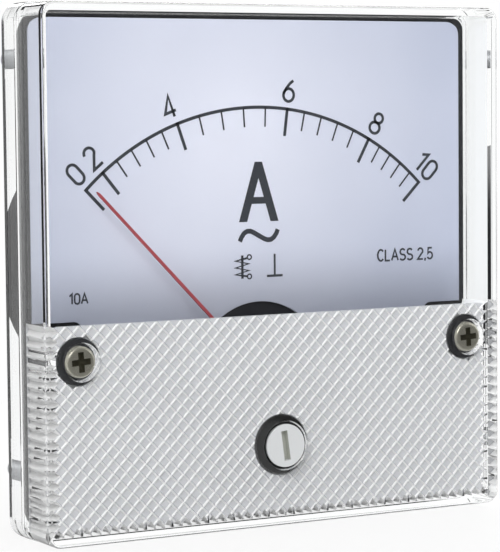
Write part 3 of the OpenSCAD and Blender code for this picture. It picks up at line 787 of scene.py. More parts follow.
def merged_copy(node: str, name: str) -> Piece:
    """Copy a CAD node with its loose triangles joined into clean faces.

    Args:
        node: The CAD node.
        name: The new piece's name.

    Returns:
        The copy.
    """
    form = bmesh.new()
    form.from_mesh(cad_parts[node].data)
    bmesh.ops.remove_doubles(form, verts=form.verts, dist=MERGE_M)
    bmesh.ops.dissolve_limit(
        form,
        angle_limit=math.radians(FLAT_DEG),
        verts=form.verts,
        edges=form.edges,
        use_dissolve_boundaries=False,
    )
    mesh = bpy.data.meshes.new(name)
    form.to_mesh(mesh)
    form.free()
    mesh.materials.clear()
    return put(name, mesh)


def grown(name: str, build: Callable[[Tree, Node], Socket], **sizes: float) -> Piece:
    """Grow a mesh with Geometry Nodes and make it plain.

    Args:
        name: The piece's name.
        build: Adds the nodes to the tree, whose inputs it gets as the second value, and
            returns the geometry that it ends in.
        sizes: The tree's named inputs, with their values.

    Returns:
        The plain object, without the modifier.
    """
    tree = bpy.data.node_groups.new(name, "GeometryNodeTree")
    sockets = [("Geometry", "INPUT", "Geometry"), ("Geometry", "OUTPUT", "Geometry")]
    sockets.append(("Finish", "INPUT", "Material"))
    sockets += [(label, "INPUT", "Float") for label in sizes]
    for label, way, kind in sockets:
        tree.interface.new_socket(label, in_out=way, socket_type=f"NodeSocket{kind}")
    source = add(tree, "NodeGroupInput")
    geometry = build(tree, source)
    plain = add(tree, "GeometryNodeRealizeInstances", {"Geometry": geometry})
    dressed = add(
        tree,
        "GeometryNodeSetMaterial",
        {"Geometry": plain.outputs[0], "Material": source.outputs["Finish"]},
    )
    add(tree, "NodeGroupOutput", {"Geometry": dressed.outputs[0]})
    obj = put(name, bpy.data.meshes.new(name))
    modifier = obj.modifiers.new("grow", "NODES")
    modifier.node_group = tree
    for item in tree.interface.items_tree:
        if item.in_out == "INPUT" and item.name in sizes:
            modifier[item.identifier] = float(sizes[item.name])
    apply_modifiers(obj)
    bpy.data.node_groups.remove(tree)
    return obj


def finish_piece(
    obj: Piece,
    material: bpy.types.Material,
    slot: str,
    body: str = "housing",
    replaces: Sequence[str] = (),
) -> Piece:
    """Dress a piece and set it on its body.

    Args:
        obj: The piece.
        material: Its material.
        slot: The record's material slot; not used.
        body: The CAD body that it moves with.
        replaces: CAD nodes that it stands for.

    Returns:
        The same piece.
    """
    obj.data.materials.clear()
    obj.data.materials.append(material)
    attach(obj, body)
    if replaces:
        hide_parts(*replaces)
    return obj


class Assembly(Protocol):
    """A part of the meter that builds its own finished pieces."""

    def build(self) -> list[Piece]:
        """Build the pieces and return them."""


# ---------- Studio ----------


@dataclass
class StudioCamera:
    """The camera, a little to the left of the meter and above its middle.

    The place is in millimetres, the angles in degrees and the clip distances in metres.
    """

    place: Spot = (-175.52, -318.06, 23.24)
    yaw: float = 29.129
    pitch: float = 4.008
    roll: float = -0.55
    lens: float = 150.94
    clip: Point = (0.01, 50.0)

    def build(self) -> Piece:
        """Make the camera and set it as the scene's.

        Returns:
            The camera object.
        """
        to_view = Matrix(((1, 0, 0), (0, 0, -1), (0, 1, 0)))
        rows = (
            Matrix.Rotation(math.radians(self.roll), 3, "Z")
            @ Matrix.Rotation(math.radians(self.pitch), 3, "X")
            @ to_view
            @ Matrix.Rotation(math.radians(self.yaw), 3, "Z")
        )
        data = bpy.data.cameras.new("camera")
        data.lens = self.lens
        data.clip_start, data.clip_end = self.clip
        camera = bpy.data.objects.new("camera", data)
        axes = Matrix((rows[0], -rows[1], -rows[2])).transposed().to_4x4()
        camera.matrix_world = Matrix.Translation(Vector(self.place) * MM) @ axes
        bpy.context.scene.collection.objects.link(camera)
        bpy.context.scene.camera = camera
        return camera


@dataclass(frozen=True)
class SoftLamp:
    """A soft square lamp aimed at the meter: its side in mm, its power in watts."""

    name: str
    place: Spot
    side: float
    power: float

    def build(self) -> None:
        """Make the lamp and aim it."""
        data = bpy.data.lights.new(self.name, "AREA")
        data.size = self.side * MM
        data.energy = self.power
        lamp = bpy.data.objects.new(self.name, data)
        spot = Vector(self.place) * MM
        aim = spot.to_track_quat("Z", "Y").to_matrix().to_4x4()
        lamp.matrix_world = Matrix.Translation(spot) @ aim
        # Lamp light comes through the clear cover by its shadow rays alone
        lamp.visible_transmission = False
        bpy.context.scene.collection.objects.link(lamp)


@dataclass
class Studio:
    """A pale floor under the meter, soft lamps and an even pale room.

    The flag is a dark patch of the room: flag_way is the way to it, flag_edge half of
    the angle that it fills and flag_soft the width of its soft border, in degrees.
    """

    floor_z: float = -40.02
    floor_half: float = 6000.0
    floor_colour: str = "#F2F2F2"
    floor_roughness: float = 0.7
    shadow_r: Point = (30.0, 160.0)
    shadow_share: float = 0.75
    room_level: float = 0.62
    glass_level: float = 1.07
    gloss_level: float = 0.14
    flag_way: Spot = (0.478, -0.876, -0.068)
    flag_edge: float = 13.0
    flag_soft: float = 8.0
    flag_level: float = 0.12
    lamps: tuple[SoftLamp, ...] = (
        SoftLamp("key_lamp", (-420.0, -620.0, 520.0), 420.0, 3.4),
        SoftLamp("fill_lamp", (760.0, -260.0, 380.0), 500.0, 2.2),
        SoftLamp("rear_lamp", (260.0, 620.0, 480.0), 500.0, 3.0),
    )

    def build(self) -> None:
        """Make the room, the lamps and the floor."""
        self.build_room()
        for lamp in self.lamps:
            lamp.build()
        self.build_floor()

    def backdrop(self, tree: Tree, way: Socket) -> tuple[Socket, Socket]:
        """Add how bright the backdrop looks to the eye, in gloss and through glass.

        Args:
            tree: The tree of the room or the floor.
            way: The way from the meter to the place that is seen, of length 1.

        Returns:
            Whether a ray sees the backdrop at all, and how bright it looks to it.
        """
        math_node = "ShaderNodeMath"
        path = add(tree, "ShaderNodeLightPath").outputs
        eye, through = path["Is Camera Ray"], path["Is Transmission Ray"]
        seen = eye
        for kind in (path["Is Glossy Ray"], through):
            either = add(tree, math_node, {0: seen, 1: kind}, operation="MAXIMUM")
            seen = either.outputs[0]
        bounces = path["Diffuse Depth"]
        first = add(tree, math_node, {0: bounces, 1: 0.5}, operation="LESS_THAN")
        seen = add(
            tree, math_node, {0: seen, 1: first.outputs[0]}, operation="MULTIPLY"
        ).outputs[0]
        side = add(
            tree,
            "ShaderNodeMix",
            {"Factor": through, "A": self.gloss_level, "B": self.glass_level},
            data_type="FLOAT",
        ).outputs[0]
        # A black flag stands where the window would mirror the room into the camera
        aim = add(
            tree,
            "ShaderNodeVectorMath",
            {0: way, 1: self.flag_way},
            operation="DOT_PRODUCT",
        ).outputs["Value"]
        shade = add(
            tree,
            "ShaderNodeMapRange",
            {
                "Value": aim,
                "From Min": math.cos(math.radians(self.flag_edge + self.flag_soft)),
                "From Max": math.cos(math.radians(self.flag_edge)),
                "To Min": 1.0,
                "To Max": self.flag_level,
            },
        ).outputs["Result"]
        side = add(
            tree, math_node, {0: side, 1: shade}, operation="MULTIPLY"
        ).outputs[0]
        level = add(tree, math_node, {0: eye, 1: side}, operation="MAXIMUM").outputs[0]
        return seen, level

    def build_room(self) -> None:
        """Make the world: white to the eye, quieter as a light and in reflections."""
        world = bpy.data.worlds.new("room")
        bpy.context.scene.world = world
        world.use_nodes = True
        tree = world.node_tree
        tree.nodes.clear()
        way = add(tree, "ShaderNodeTexCoord").outputs["Generated"]
        seen, level = self.backdrop(tree, way)
        strength = add(
            tree,
            "ShaderNodeMix",
            {"Factor": seen, "A": self.room_level, "B": level},
            data_type="FLOAT",
        ).outputs[0]
        back = add(
            tree, "ShaderNodeBackground", {"Color": WHITE, "Strength": strength}
        )
        add(tree, "ShaderNodeOutputWorld", {"Surface": back.outputs[0]})

    def build_floor(self) -> None:
        """Make the floor, white far off and with the meter's soft shadow near it."""
        form = bmesh.new()
        half = self.floor_half
        corners = ((-half, -half), (half, -half), (half, half), (-half, half))
        form.faces.new([form.verts.new((x, y, self.floor_z)) for x, y in corners])
        floor = from_bmesh("floor", form)
        material, tree = new_material("pale_paper_floor")
        paper = add(
            tree,
            "ShaderNodeBsdfPrincipled",
            {
                "Base Color": linear(self.floor_colour),
                "Roughness": self.floor_roughness,
            },
        )
        place = add(tree, "ShaderNodeTexCoord").outputs["Object"]
        way = add(tree, "ShaderNodeVectorMath", {0: place}, operation="NORMALIZE")
        seen, level = self.backdrop(tree, way.outputs[0])
        white = add(tree, "ShaderNodeEmission", {"Color": WHITE, "Strength": level})
        away = add(tree, "ShaderNodeVectorMath", {0: place}, operation="LENGTH")
        far = add(
            tree,
            "ShaderNodeMapRange",
            {
                "Value": away.outputs["Value"],
                "From Min": self.shadow_r[0] * MM,
                "From Max": self.shadow_r[1] * MM,
                "To Min": self.shadow_share,
                "To Max": 1.0,
            },
        ).outputs["Result"]
        share = add(tree, "ShaderNodeMath", {0: seen, 1: far}, operation="MULTIPLY")
        mix = add(
            tree,
            "ShaderNodeMixShader",
            {0: share.outputs[0], 1: paper.outputs[0], 2: white.outputs[0]},
        )
        # From below, the floor isn't there
        clear = add(tree, "ShaderNodeBsdfTransparent")
        below = add(tree, "ShaderNodeNewGeometry").outputs["Backfacing"]
        both = add(
            tree,
            "ShaderNodeMixShader",
            {0: below, 1: mix.outputs[0], 2: clear.outputs[0]},
        )
        add(tree, "ShaderNodeOutputMaterial", {"Surface": both.outputs[0]})
        floor.data.materials.append(material)


# ---------- Cover ----------


class CellTone(IntEnum):
    """Which tone a face of the cover has, by the place of its material: a pale coat on
    the flats, a painted highlight in the grooves, painted shade on the slopes.
    """

    NONE = 0
    GROOVE = 1
    FLAT = 2
    SHADE = 3


@dataclass
class ClearCover:
    """The clear moulded cover with its band of cells and its ribbed walls.

    The cells stand on the inside of the window: four-sided, set on edge, flat on top.
    The ribs stand on the inner faces of the walls beside and below them.
    """

    front_y: float = -13.8
    window_y: float = -11.8
    half: float = 39.65
    inner_half: float = 38.4
    rim_half: float = 40.0
    rim_inner_half: float = 38.5
    rim_y: float = -4.8
    corner_r: float = 2.0
    rim_corner_r: float = 3.0
    inner_corner_r: float = 0.8
    rim_inner_corner_r: float = 1.8
    edge_r: float = 0.45
    rim_edge_r: float = 0.2
    # How far out and how far forward the fillet at the foot of the walls stands
    rim_fillet: tuple[Point, ...] = ((0.0, 0.12), (0.04, 0.03), (0.12, 0.0))
    lead_in: float = 0.1
    band_top: float = -7.4
    half_diagonal: float = 1.055
    cell_h: float = 0.3
    cell_foot: float = 0.1
    cell_top: float = 0.72
    cell_sunk: float = 0.4
    cells_x: int = 37
    cells_z: int = 30
    rib_pitch: float = 1.5
    rib_depth: float = 0.9
    rib_sunk: float = 0.4
    rib_share: float = 1.28
    rib_start_y: float = -12.2
    rib_end_y: float = -5.6
    side_ribs: int = 21
    low_ribs: int = 51
    screw_at: Point = COVER_SCREW_AT
    recess_r: float = 2.75
    recess_y: float = -12.3
    recess_lip: float = 0.15
    screw_hole_r: float = 1.45
    boss_r: float = 3.65
    adjuster_at: Point = ADJUSTER_AT
    adjuster_r: float = 3.7
    adjuster_lip: float = 0.12
    bush_r: float = 4.75
    # How near a plane a face still counts as lying on it, the bare edge round bosses,
    # and how far faces look back or aside where they are flats, slopes or in shade
    slack: float = 0.01
    bare_edge: float = 0.05
    flat_from: float = 0.95
    slope_from: float = 0.2
    shade_to: float = -0.1

    def build(self) -> list[Piece]:
        """Build the whole cover as one closed piece of clear plastic.

        Returns:
            The cover.
        """
        cover = self.shell()
        boolean(cover, self.cells(), Shaping.JOIN)
        boolean(cover, self.ribs(), Shaping.JOIN)
        for cutter in self.cutters():
            boolean(cover, cutter, Shaping.CUT)
        soften(cover, angle=30.0)
        acrylic = ClearAcrylic().material()
        finish_piece(cover, acrylic, "clear_plastic", replaces=["front_cover"])
        # The cells get a pale coat on their flats, a painted highlight in their grooves
        # and painted shade on the slopes that face away from the light
        for finish in (GROOVE_PAINTED_HIGHLIGHT, PEARL_CELL, PEARL_SHADE):
            cover.data.materials.append(finish.material())
        for face in cover.data.polygons:
            face.material_index = self.tone_on(face)
        return [cover]

    def tone_on(self, face: bpy.types.MeshPolygon) -> CellTone:
        """Tell which tone a face carries, from its place and the way it looks: a pale
        flat, a painted highlight or painted shade.

        Args:
            face: A face of the finished cover.

        Returns:
            Its tone.
        """
        x, y, z = (c / MM for c in face.center)
        near = self.window_y + 0.5 * self.cell_foot
        top = self.window_y + self.cell_foot + self.cell_h
        far = top + self.slack
        to_boss = math.hypot(abs(x) - self.screw_at[0], z - self.screw_at[1])
        to_bush = math.hypot(x - self.adjuster_at[0], z - self.adjuster_at[1])
        if (
            not near < y < self.rib_end_y + self.slack
            or z > self.band_top + self.slack
            or max(abs(x), -z) > self.inner_half + 2 * self.slack
            or to_boss < self.boss_r + self.bare_edge
            or to_bush < self.bush_r + self.bare_edge
        ):
            return CellTone.NONE
        back, aside = face.normal.y, max(face.normal.x, face.normal.z)
        if back >= self.flat_from and y > top - 9 * self.slack:
            return CellTone.FLAT
        slopes = self.slope_from < back < self.flat_from
        if slopes and y <= far and aside < self.shade_to:
            return CellTone.SHADE
        if slopes or (y > far and back > -self.slope_from):
            return CellTone.GROOVE
        return CellTone.NONE

    def shell(self) -> Piece:
        """Build the plain cover: a shallow box that steps out to its rear rim.

        Returns:
            The closed shell.
        """
        sections = [
            (self.half - side, self.front_y + rise, self.corner_r - side)
            for side, rise in quarter(self.edge_r, 5)
        ]
        sections += [
            (self.half + out, self.rim_y - fore, self.corner_r + out)
            for out, fore in self.rim_fillet
        ]
        edge = quarter(self.rim_edge_r, 3)
        sections += [
            (self.rim_half - side, self.rim_y + rise, self.rim_corner_r - side)
            for side, rise in edge
        ]
        sections += [
            (self.rim_half - side, -rise, self.rim_corner_r - side)
            for rise, side in edge
        ]
        wide, rim_r = self.rim_inner_half, self.rim_inner_corner_r
        sections += [
            (wide + self.lead_in, 0.0, rim_r + self.lead_in),
            (wide, -self.lead_in, rim_r),
            (wide, self.rim_y, rim_r),
            (self.inner_half, self.rim_y, self.inner_corner_r),
            # A loop where the ribs end keeps each face of the inner walls simple
            (self.inner_half, self.rib_end_y, self.inner_corner_r),
            (self.inner_half, self.window_y, self.inner_corner_r),
        ]
        return loft(
            "front_cover_clear",
            [rounded_square(half, radius, y) for half, y, radius in sections],
        )

    def cell_tree(self, tree: Tree, source: Node) -> Socket:
        """Add a block whose back faces are drawn out to smaller flats.

        Args:
            tree: The tree of the cells.
            source: The node with the tree's inputs.

        Returns:
            The block, turned on edge and set in its place.
        """
        given = source.outputs
        size = add(
            tree,
            "ShaderNodeMath",
            {0: given["Pitch"], 1: given["Count"]},
            operation="MULTIPLY",
        ).outputs[0]
        lines = add(
            tree, "ShaderNodeMath", {0: given["Count"], 1: 1.0}, operation="ADD"
        ).outputs[0]
        box = add(
            tree, "ShaderNodeCombineXYZ", {"X": size, "Y": given["Foot"], "Z": size}
        ).outputs[0]
        whole = add(
            tree,
            "GeometryNodeMeshCube",
            {"Size": box, "Vertices X": lines, "Vertices Y": 2, "Vertices Z": lines},
        ).outputs["Mesh"]
        aim = add(
            tree,
            "ShaderNodeVectorMath",
            {0: add(tree, "GeometryNodeInputNormal").outputs[0], 1: (0.0, 1.0, 0.0)},
            operation="DOT_PRODUCT",
        ).outputs["Value"]
        back = add(
            tree, "FunctionNodeCompare", {0: aim, 1: 0.5}, operation="GREATER_THAN"
        ).outputs[0]
        drawn = add(
            tree,
            "GeometryNodeExtrudeMesh",
            {
                "Mesh": whole,
                "Selection": back,
                "Offset Scale": given["Height"],
                "Individual": True,
            },
            mode="FACES",
        ).outputs
        tops = add(
            tree,
            "GeometryNodeScaleElements",
            {
                "Geometry": drawn["Mesh"],
                "Selection": drawn["Top"],
                "Scale": given["Top"],
            },
        ).outputs[0]
        joined = add(
            tree, "GeometryNodeMergeByDistance", {"Geometry": tops, "Distance": 1e-6}
        ).outputs[0]
        place = add(
            tree, "ShaderNodeCombineXYZ", {"Y": given["Plane"], "Z": given["Middle"]}
        ).outputs[0]
        return add(
            tree,
            "GeometryNodeTransform",
            {
                "Geometry": joined,
                "Translation": place,
                "Rotation": (0.0, math.pi / 4, 0.0),
            },
        ).outputs[0]

    def cells(self) -> Piece:
        """Grow the field of cells and trim it to the band.

        Returns:
            The closed field, sunk into the window.
        """
        half_w = self.cells_x * self.half_diagonal
        low = self.band_top - self.cells_z * self.half_diagonal
        pitch = self.half_diagonal * math.sqrt(2)
        # An odd count puts the middle of a cell on the middle of the field
        count = math.ceil((2 * half_w + self.band_top - low) / math.sqrt(2) / pitch)
        count += count % 2 + 3
        # That middle lies an odd number of half diagonals under the band's top edge
        steps = self.cells_z // 2
        steps += 1 - steps % 2
        foot = self.cell_foot + self.cell_sunk
        field = grown(
            "cell_field",
            self.cell_tree,
            Pitch=pitch * MM,
            Count=count,
            Height=self.cell_h * MM,
            Top=self.cell_top,
            Foot=foot * MM,
            Plane=(self.window_y + self.cell_foot - foot / 2) * MM,
            Middle=(self.band_top - steps * self.half_diagonal) * MM,
        )
        planes = (self.window_y - 0.95 * self.cell_sunk, self.window_y + 2.0)
        band = block("band", oblong(half_w, self.band_top, low), planes)
        return boolean(field, band, Shaping.TRIM)

    def rib_tree(self, tree: Tree, source: Node) -> Socket:
        """Add three rows of wedges, one row for each wall.

        Args:
            tree: The tree of the ribs.
            source: The node with the tree's inputs.

        Returns:
            The three rows together.
        """
        # The bar has three sides, one high and two thirds of root three wide
        bar = add(
            tree,
            "GeometryNodeMeshCylinder",
            {"Vertices": 3, "Radius": 2 / 3, "Depth": source.outputs["Length"]},
        ).outputs["Mesh"]
        size = add(
            tree,
            "ShaderNodeCombineXYZ",
            {"X": source.outputs["Depth"], "Y": source.outputs["Width"], "Z": 1.0},
        ).outputs[0]
        sized = add(
            tree, "GeometryNodeTransform", {"Geometry": bar, "Scale": size}
        ).outputs[0]
        rib = add(
            tree,
            "GeometryNodeTransform",
            {"Geometry": sized, "Rotation": (math.pi / 2, 0.0, 0.0)},
        ).outputs[0]
        root, pitch = (self.inner_half - self.rib_sunk) * MM, self.rib_pitch * MM
        middle = (self.rib_start_y + self.rib_end_y) / 2 * MM
        top = (self.band_top - self.rib_pitch / 2) * MM
        left = -(self.low_ribs - 1) / 2 * pitch
        down, along = (0.0, 0.0, -pitch), (pitch, 0.0, 0.0)
        rows = add(tree, "GeometryNodeJoinGeometry")
        for start, step, count, turn in (
            ((-root, middle, top), down, self.side_ribs, 0.0),
            ((root, middle, top), down, self.side_ribs, math.pi),
            ((left, middle, -root), along, self.low_ribs, -math.pi / 2),
        ):
            line = add(
                tree,
                "GeometryNodeMeshLine",
                {"Count": count, "Start Location": start, "Offset": step},
            ).outputs["Mesh"]
            row = add(
                tree,
                "GeometryNodeInstanceOnPoints",
                {"Points": line, "Instance": rib, "Rotation": (0.0, turn, 0.0)},
            ).outputs[0]
            tree.links.new(row, rows.inputs[0])
        return rows.outputs[0]

    def ribs(self) -> Piece:
        """Grow the ribs that stand on both side walls and on the lower wall.

        Returns:
            All ribs, as separate closed wedges.
        """
        return grown(
            "wall_ribs",
            self.rib_tree,
            Length=(self.rib_end_y - self.rib_start_y) * MM,
            Depth=(self.rib_depth + self.rib_sunk) * MM,
            Width=self.rib_share * self.rib_pitch / math.sqrt(3) * 1.5 * MM,
        )

    def cutters(self) -> Iterator[Piece]:
        """Turn the forms cut from the cover for the screws and the adjuster.

        Yields:
            The forms, one after the other.
        """
        inner, end = self.window_y + 0.001, self.rib_end_y + 1
        recess = (
            (self.recess_r, self.recess_y),
            (self.screw_hole_r, inner),
            (self.boss_r, end),
        )
        hole = ((self.adjuster_r, inner), (self.bush_r, end))
        for at, bores, lip, count in (
            (on_side(self.screw_at, -1), recess, self.recess_lip, 48),
            (self.screw_at, recess, self.recess_lip, 48),
            (self.adjuster_at, hole, self.adjuster_lip, 64),
        ):
            mouth = bores[0][0]
            rings = [(mouth + lip + 1, self.front_y - 1), (mouth + lip, self.front_y)]
            plane = self.front_y + lip
            for radius, back in bores:
                rings += [(radius, plane), (radius, back)]
                plane = back
            yield lathe("bores", rings, at, count)


# ---------- Dial ----------


def curve(
    centre: Point, radii: Point, start: float, end: float, steps: int = 14
) -> list[Point]:
    """Return points along an elliptic arc.

    Args:
        centre: The ellipse's middle.
        radii: Its half width and half height.
        start: Angle of the first point, in degrees clockwise from up.
        end: Angle of the last point.
        steps: Number of steps between them.

    Returns:
        The points.
    """
    turns = [math.radians(start + (end - start) * i / steps) for i in range(steps + 1)]
    return [
        (centre[0] + radii[0] * math.sin(t), centre[1] + radii[1] * math.cos(t))
        for t in turns
    ]


def ring(centre: Point, radii: Point, steps: int = 24) -> list[Point]:
    """Return the points of a whole ellipse, the first one at its top."""
    return curve(centre, radii, 0, 360, steps)[:-1]


@dataclass(frozen=True)
class Glyph:
    """A figure, capital or sign of height 1: its width, its rings and its lines."""

    width: float
    rings: Sequence[Sequence[Point]] = ()
    lines: Sequence[Sequence[Point]] = ()


def glyphs() -> dict[str, Glyph]:
    """Draw the figures and capitals as an engraver would with one round pen.

    Returns:
        The glyphs, by what they stand for.
    """
    zero = curve((0.27, 0.71), (0.27, 0.29), -90, 90, 12)
    zero += curve((0.27, 0.29), (0.27, 0.29), 90, 270, 12)[:-1]
    two = curve((0.28, 0.73), (0.26, 0.27), -80, 110, 12)
    two += [(0.40, 0.50), (0.0, 0.0), (0.56, 0.0)]
    four = [(0.42, 0.0), (0.42, 1.0), (0.0, 0.26), (0.58, 0.26)]
    five = [(0.5, 1.0), (0.11, 1.0), (0.06, 0.5)]
    five += curve((0.27, 0.31), (0.28, 0.31), -40, 242, 14)
    six_bowl = ring((0.28, 0.30), (0.28, 0.30))
    six_stem = [(0.46, 1.0), (0.30, 0.86), (0.13, 0.62), (0.03, 0.42), (0.0, 0.30)]
    eight_low = ring((0.28, 0.27), (0.28, 0.27))
    eight_top = ring((0.28, 0.77), (0.23, 0.23), 22)
    legs = [(0.0, 0.0), (0.34, 1.0), (0.68, 0.0)]
    cup = curve((0.33, 0.5), (0.33, 0.5), 48, -228, 20)
    bend = curve((0.29, 0.745), (0.26, 0.255), 62, -180, 12)
    bend += curve((0.29, 0.25), (0.29, 0.25), 0, 242, 12)[1:]
    return {
        "0": Glyph(0.54, rings=[zero]),
        "1": Glyph(0.36, lines=[[(0.0, 0.76), (0.28, 1.0), (0.28, 0.0)]]),
        "2": Glyph(0.56, lines=[two]),
        "4": Glyph(0.58, lines=[four]),
        "5": Glyph(0.56, lines=[five]),
        "6": Glyph(0.56, rings=[six_bowl], lines=[six_stem]),
        "8": Glyph(0.56, rings=[eight_low, eight_top]),
        "A": Glyph(0.68, lines=[legs, [(0.13, 0.34), (0.55, 0.34)]]),
        "C": Glyph(0.62, lines=[cup]),
        "L": Glyph(0.48, lines=[[(0.0, 1.0), (0.0, 0.0), (0.48, 0.0)]]),
        "S": Glyph(0.58, lines=[bend]),
        ",": Glyph(0.08, lines=[[(0.07, 0.1), (0.0, -0.16)]]),
        " ": Glyph(0.18),
    }


GLYPHS = glyphs()

# A stroke's corner is drawn out at a bend until the cosine of half of it is this small
SHARPEST_BEND = 0.45


def stroke(
    form: bmesh.types.BMesh,
    path: Sequence[Point],
    width: float,
    planes: Point,
    closed: bool = False,
) -> None:
    """Add a flat stroke of even width along a path of X and Z.

    Args:
        form: The form that gets the stroke.
        path: Points of its middle line, in millimetres.
        width: Width of the stroke.
        planes: Its front and back planes.
        closed: Whether the path runs round to its start.
    """
    count = len(path)
    front, back = planes
    rows = []
    for i, (x, z) in enumerate(path):
        ways = []
        if i or closed:
            before = path[i - 1]
            ways.append(Vector((x - before[0], z - before[1])).normalized())
        if i < count - 1 or closed:
            after = path[(i + 1) % count]
            ways.append(Vector((after[0] - x, after[1] - z)).normalized())
        way = sum(ways, Vector((0.0, 0.0))).normalized()
        side = Vector((-way.y, way.x))
        lean = max(SHARPEST_BEND, abs(side.dot(Vector((-ways[0].y, ways[0].x)))))
        reach = side * (width / 2 / lean)
        corners = ((1, front), (-1, front), (-1, back), (1, back))
        rows.append(
            [
                form.verts.new((x + sign * reach.x, y, z + sign * reach.y))
                for sign, y in corners
            ]
        )
    for i in range(count if closed else count - 1):
        low, high = rows[i], rows[(i + 1) % count]
        for a in range(4):
            b = (a + 1) % 4
            form.faces.new((low[a], low[b], high[b], high[a]))
    if not closed:
        form.faces.new(rows[0][::-1])
        form.faces.new(rows[-1])


@dataclass(frozen=True)
class AmpereLetter:
    """The big bold A, with the planes of its feet, top and bar along Z."""

    foot: float = 6.6
    top: float = 15.85
    half: float = 3.5
    tip: float = 0.64
    leg: float = 1.42
    bar_low: float = 9.35
    bar_top: float = 10.4
    cap: float = 1.6

    @property
    def slope(self) -> float:
        """Return how much half the width narrows with each millimetre of height."""
        return (self.half - self.tip) / (self.top - self.foot)

    def outer(self, z: float) -> float:
        """Return half the letter's width at a height."""
        return self.half - self.slope * (z - self.foot)

    def draw(self, form: bmesh.types.BMesh, planes: Point) -> None:
        """Add the letter, with its open counter, to an empty form.

        Args:
            form: The form that gets the letter.
            planes: Its front and back planes.
        """
        under, over = (self.outer(z) - self.leg for z in (self.bar_low, self.bar_top))
        half, inner = self.half, self.half - self.leg
        apex = min(self.foot + inner / self.slope, self.top - self.cap)
        rim = [(-half, self.foot), (-inner, self.foot), (-under, self.bar_low)]
        rim += [(under, self.bar_low), (inner, self.foot), (half, self.foot)]
        rim += [(self.tip, self.top), (-self.tip, self.top)]
        hole = [(-over, self.bar_top), (over, self.bar_top), (0.0, apex)]
        for loop in (rim, hole):
            front, back = ([form.verts.new((x, y, z)) for x, z in loop] for y in planes)
            for i in range(len(loop)):
                j = (i + 1) % len(loop)
                form.faces.new((front[i], front[j], back[j], back[i]))
        for y in planes:
            flat = [
                edge
                for edge in form.edges
                if all(abs(vert.co.y - y) < 1e-6 for vert in edge.verts)
            ]
            bmesh.ops.triangle_fill(
                form, use_beauty=True, use_dissolve=False, edges=flat
            )


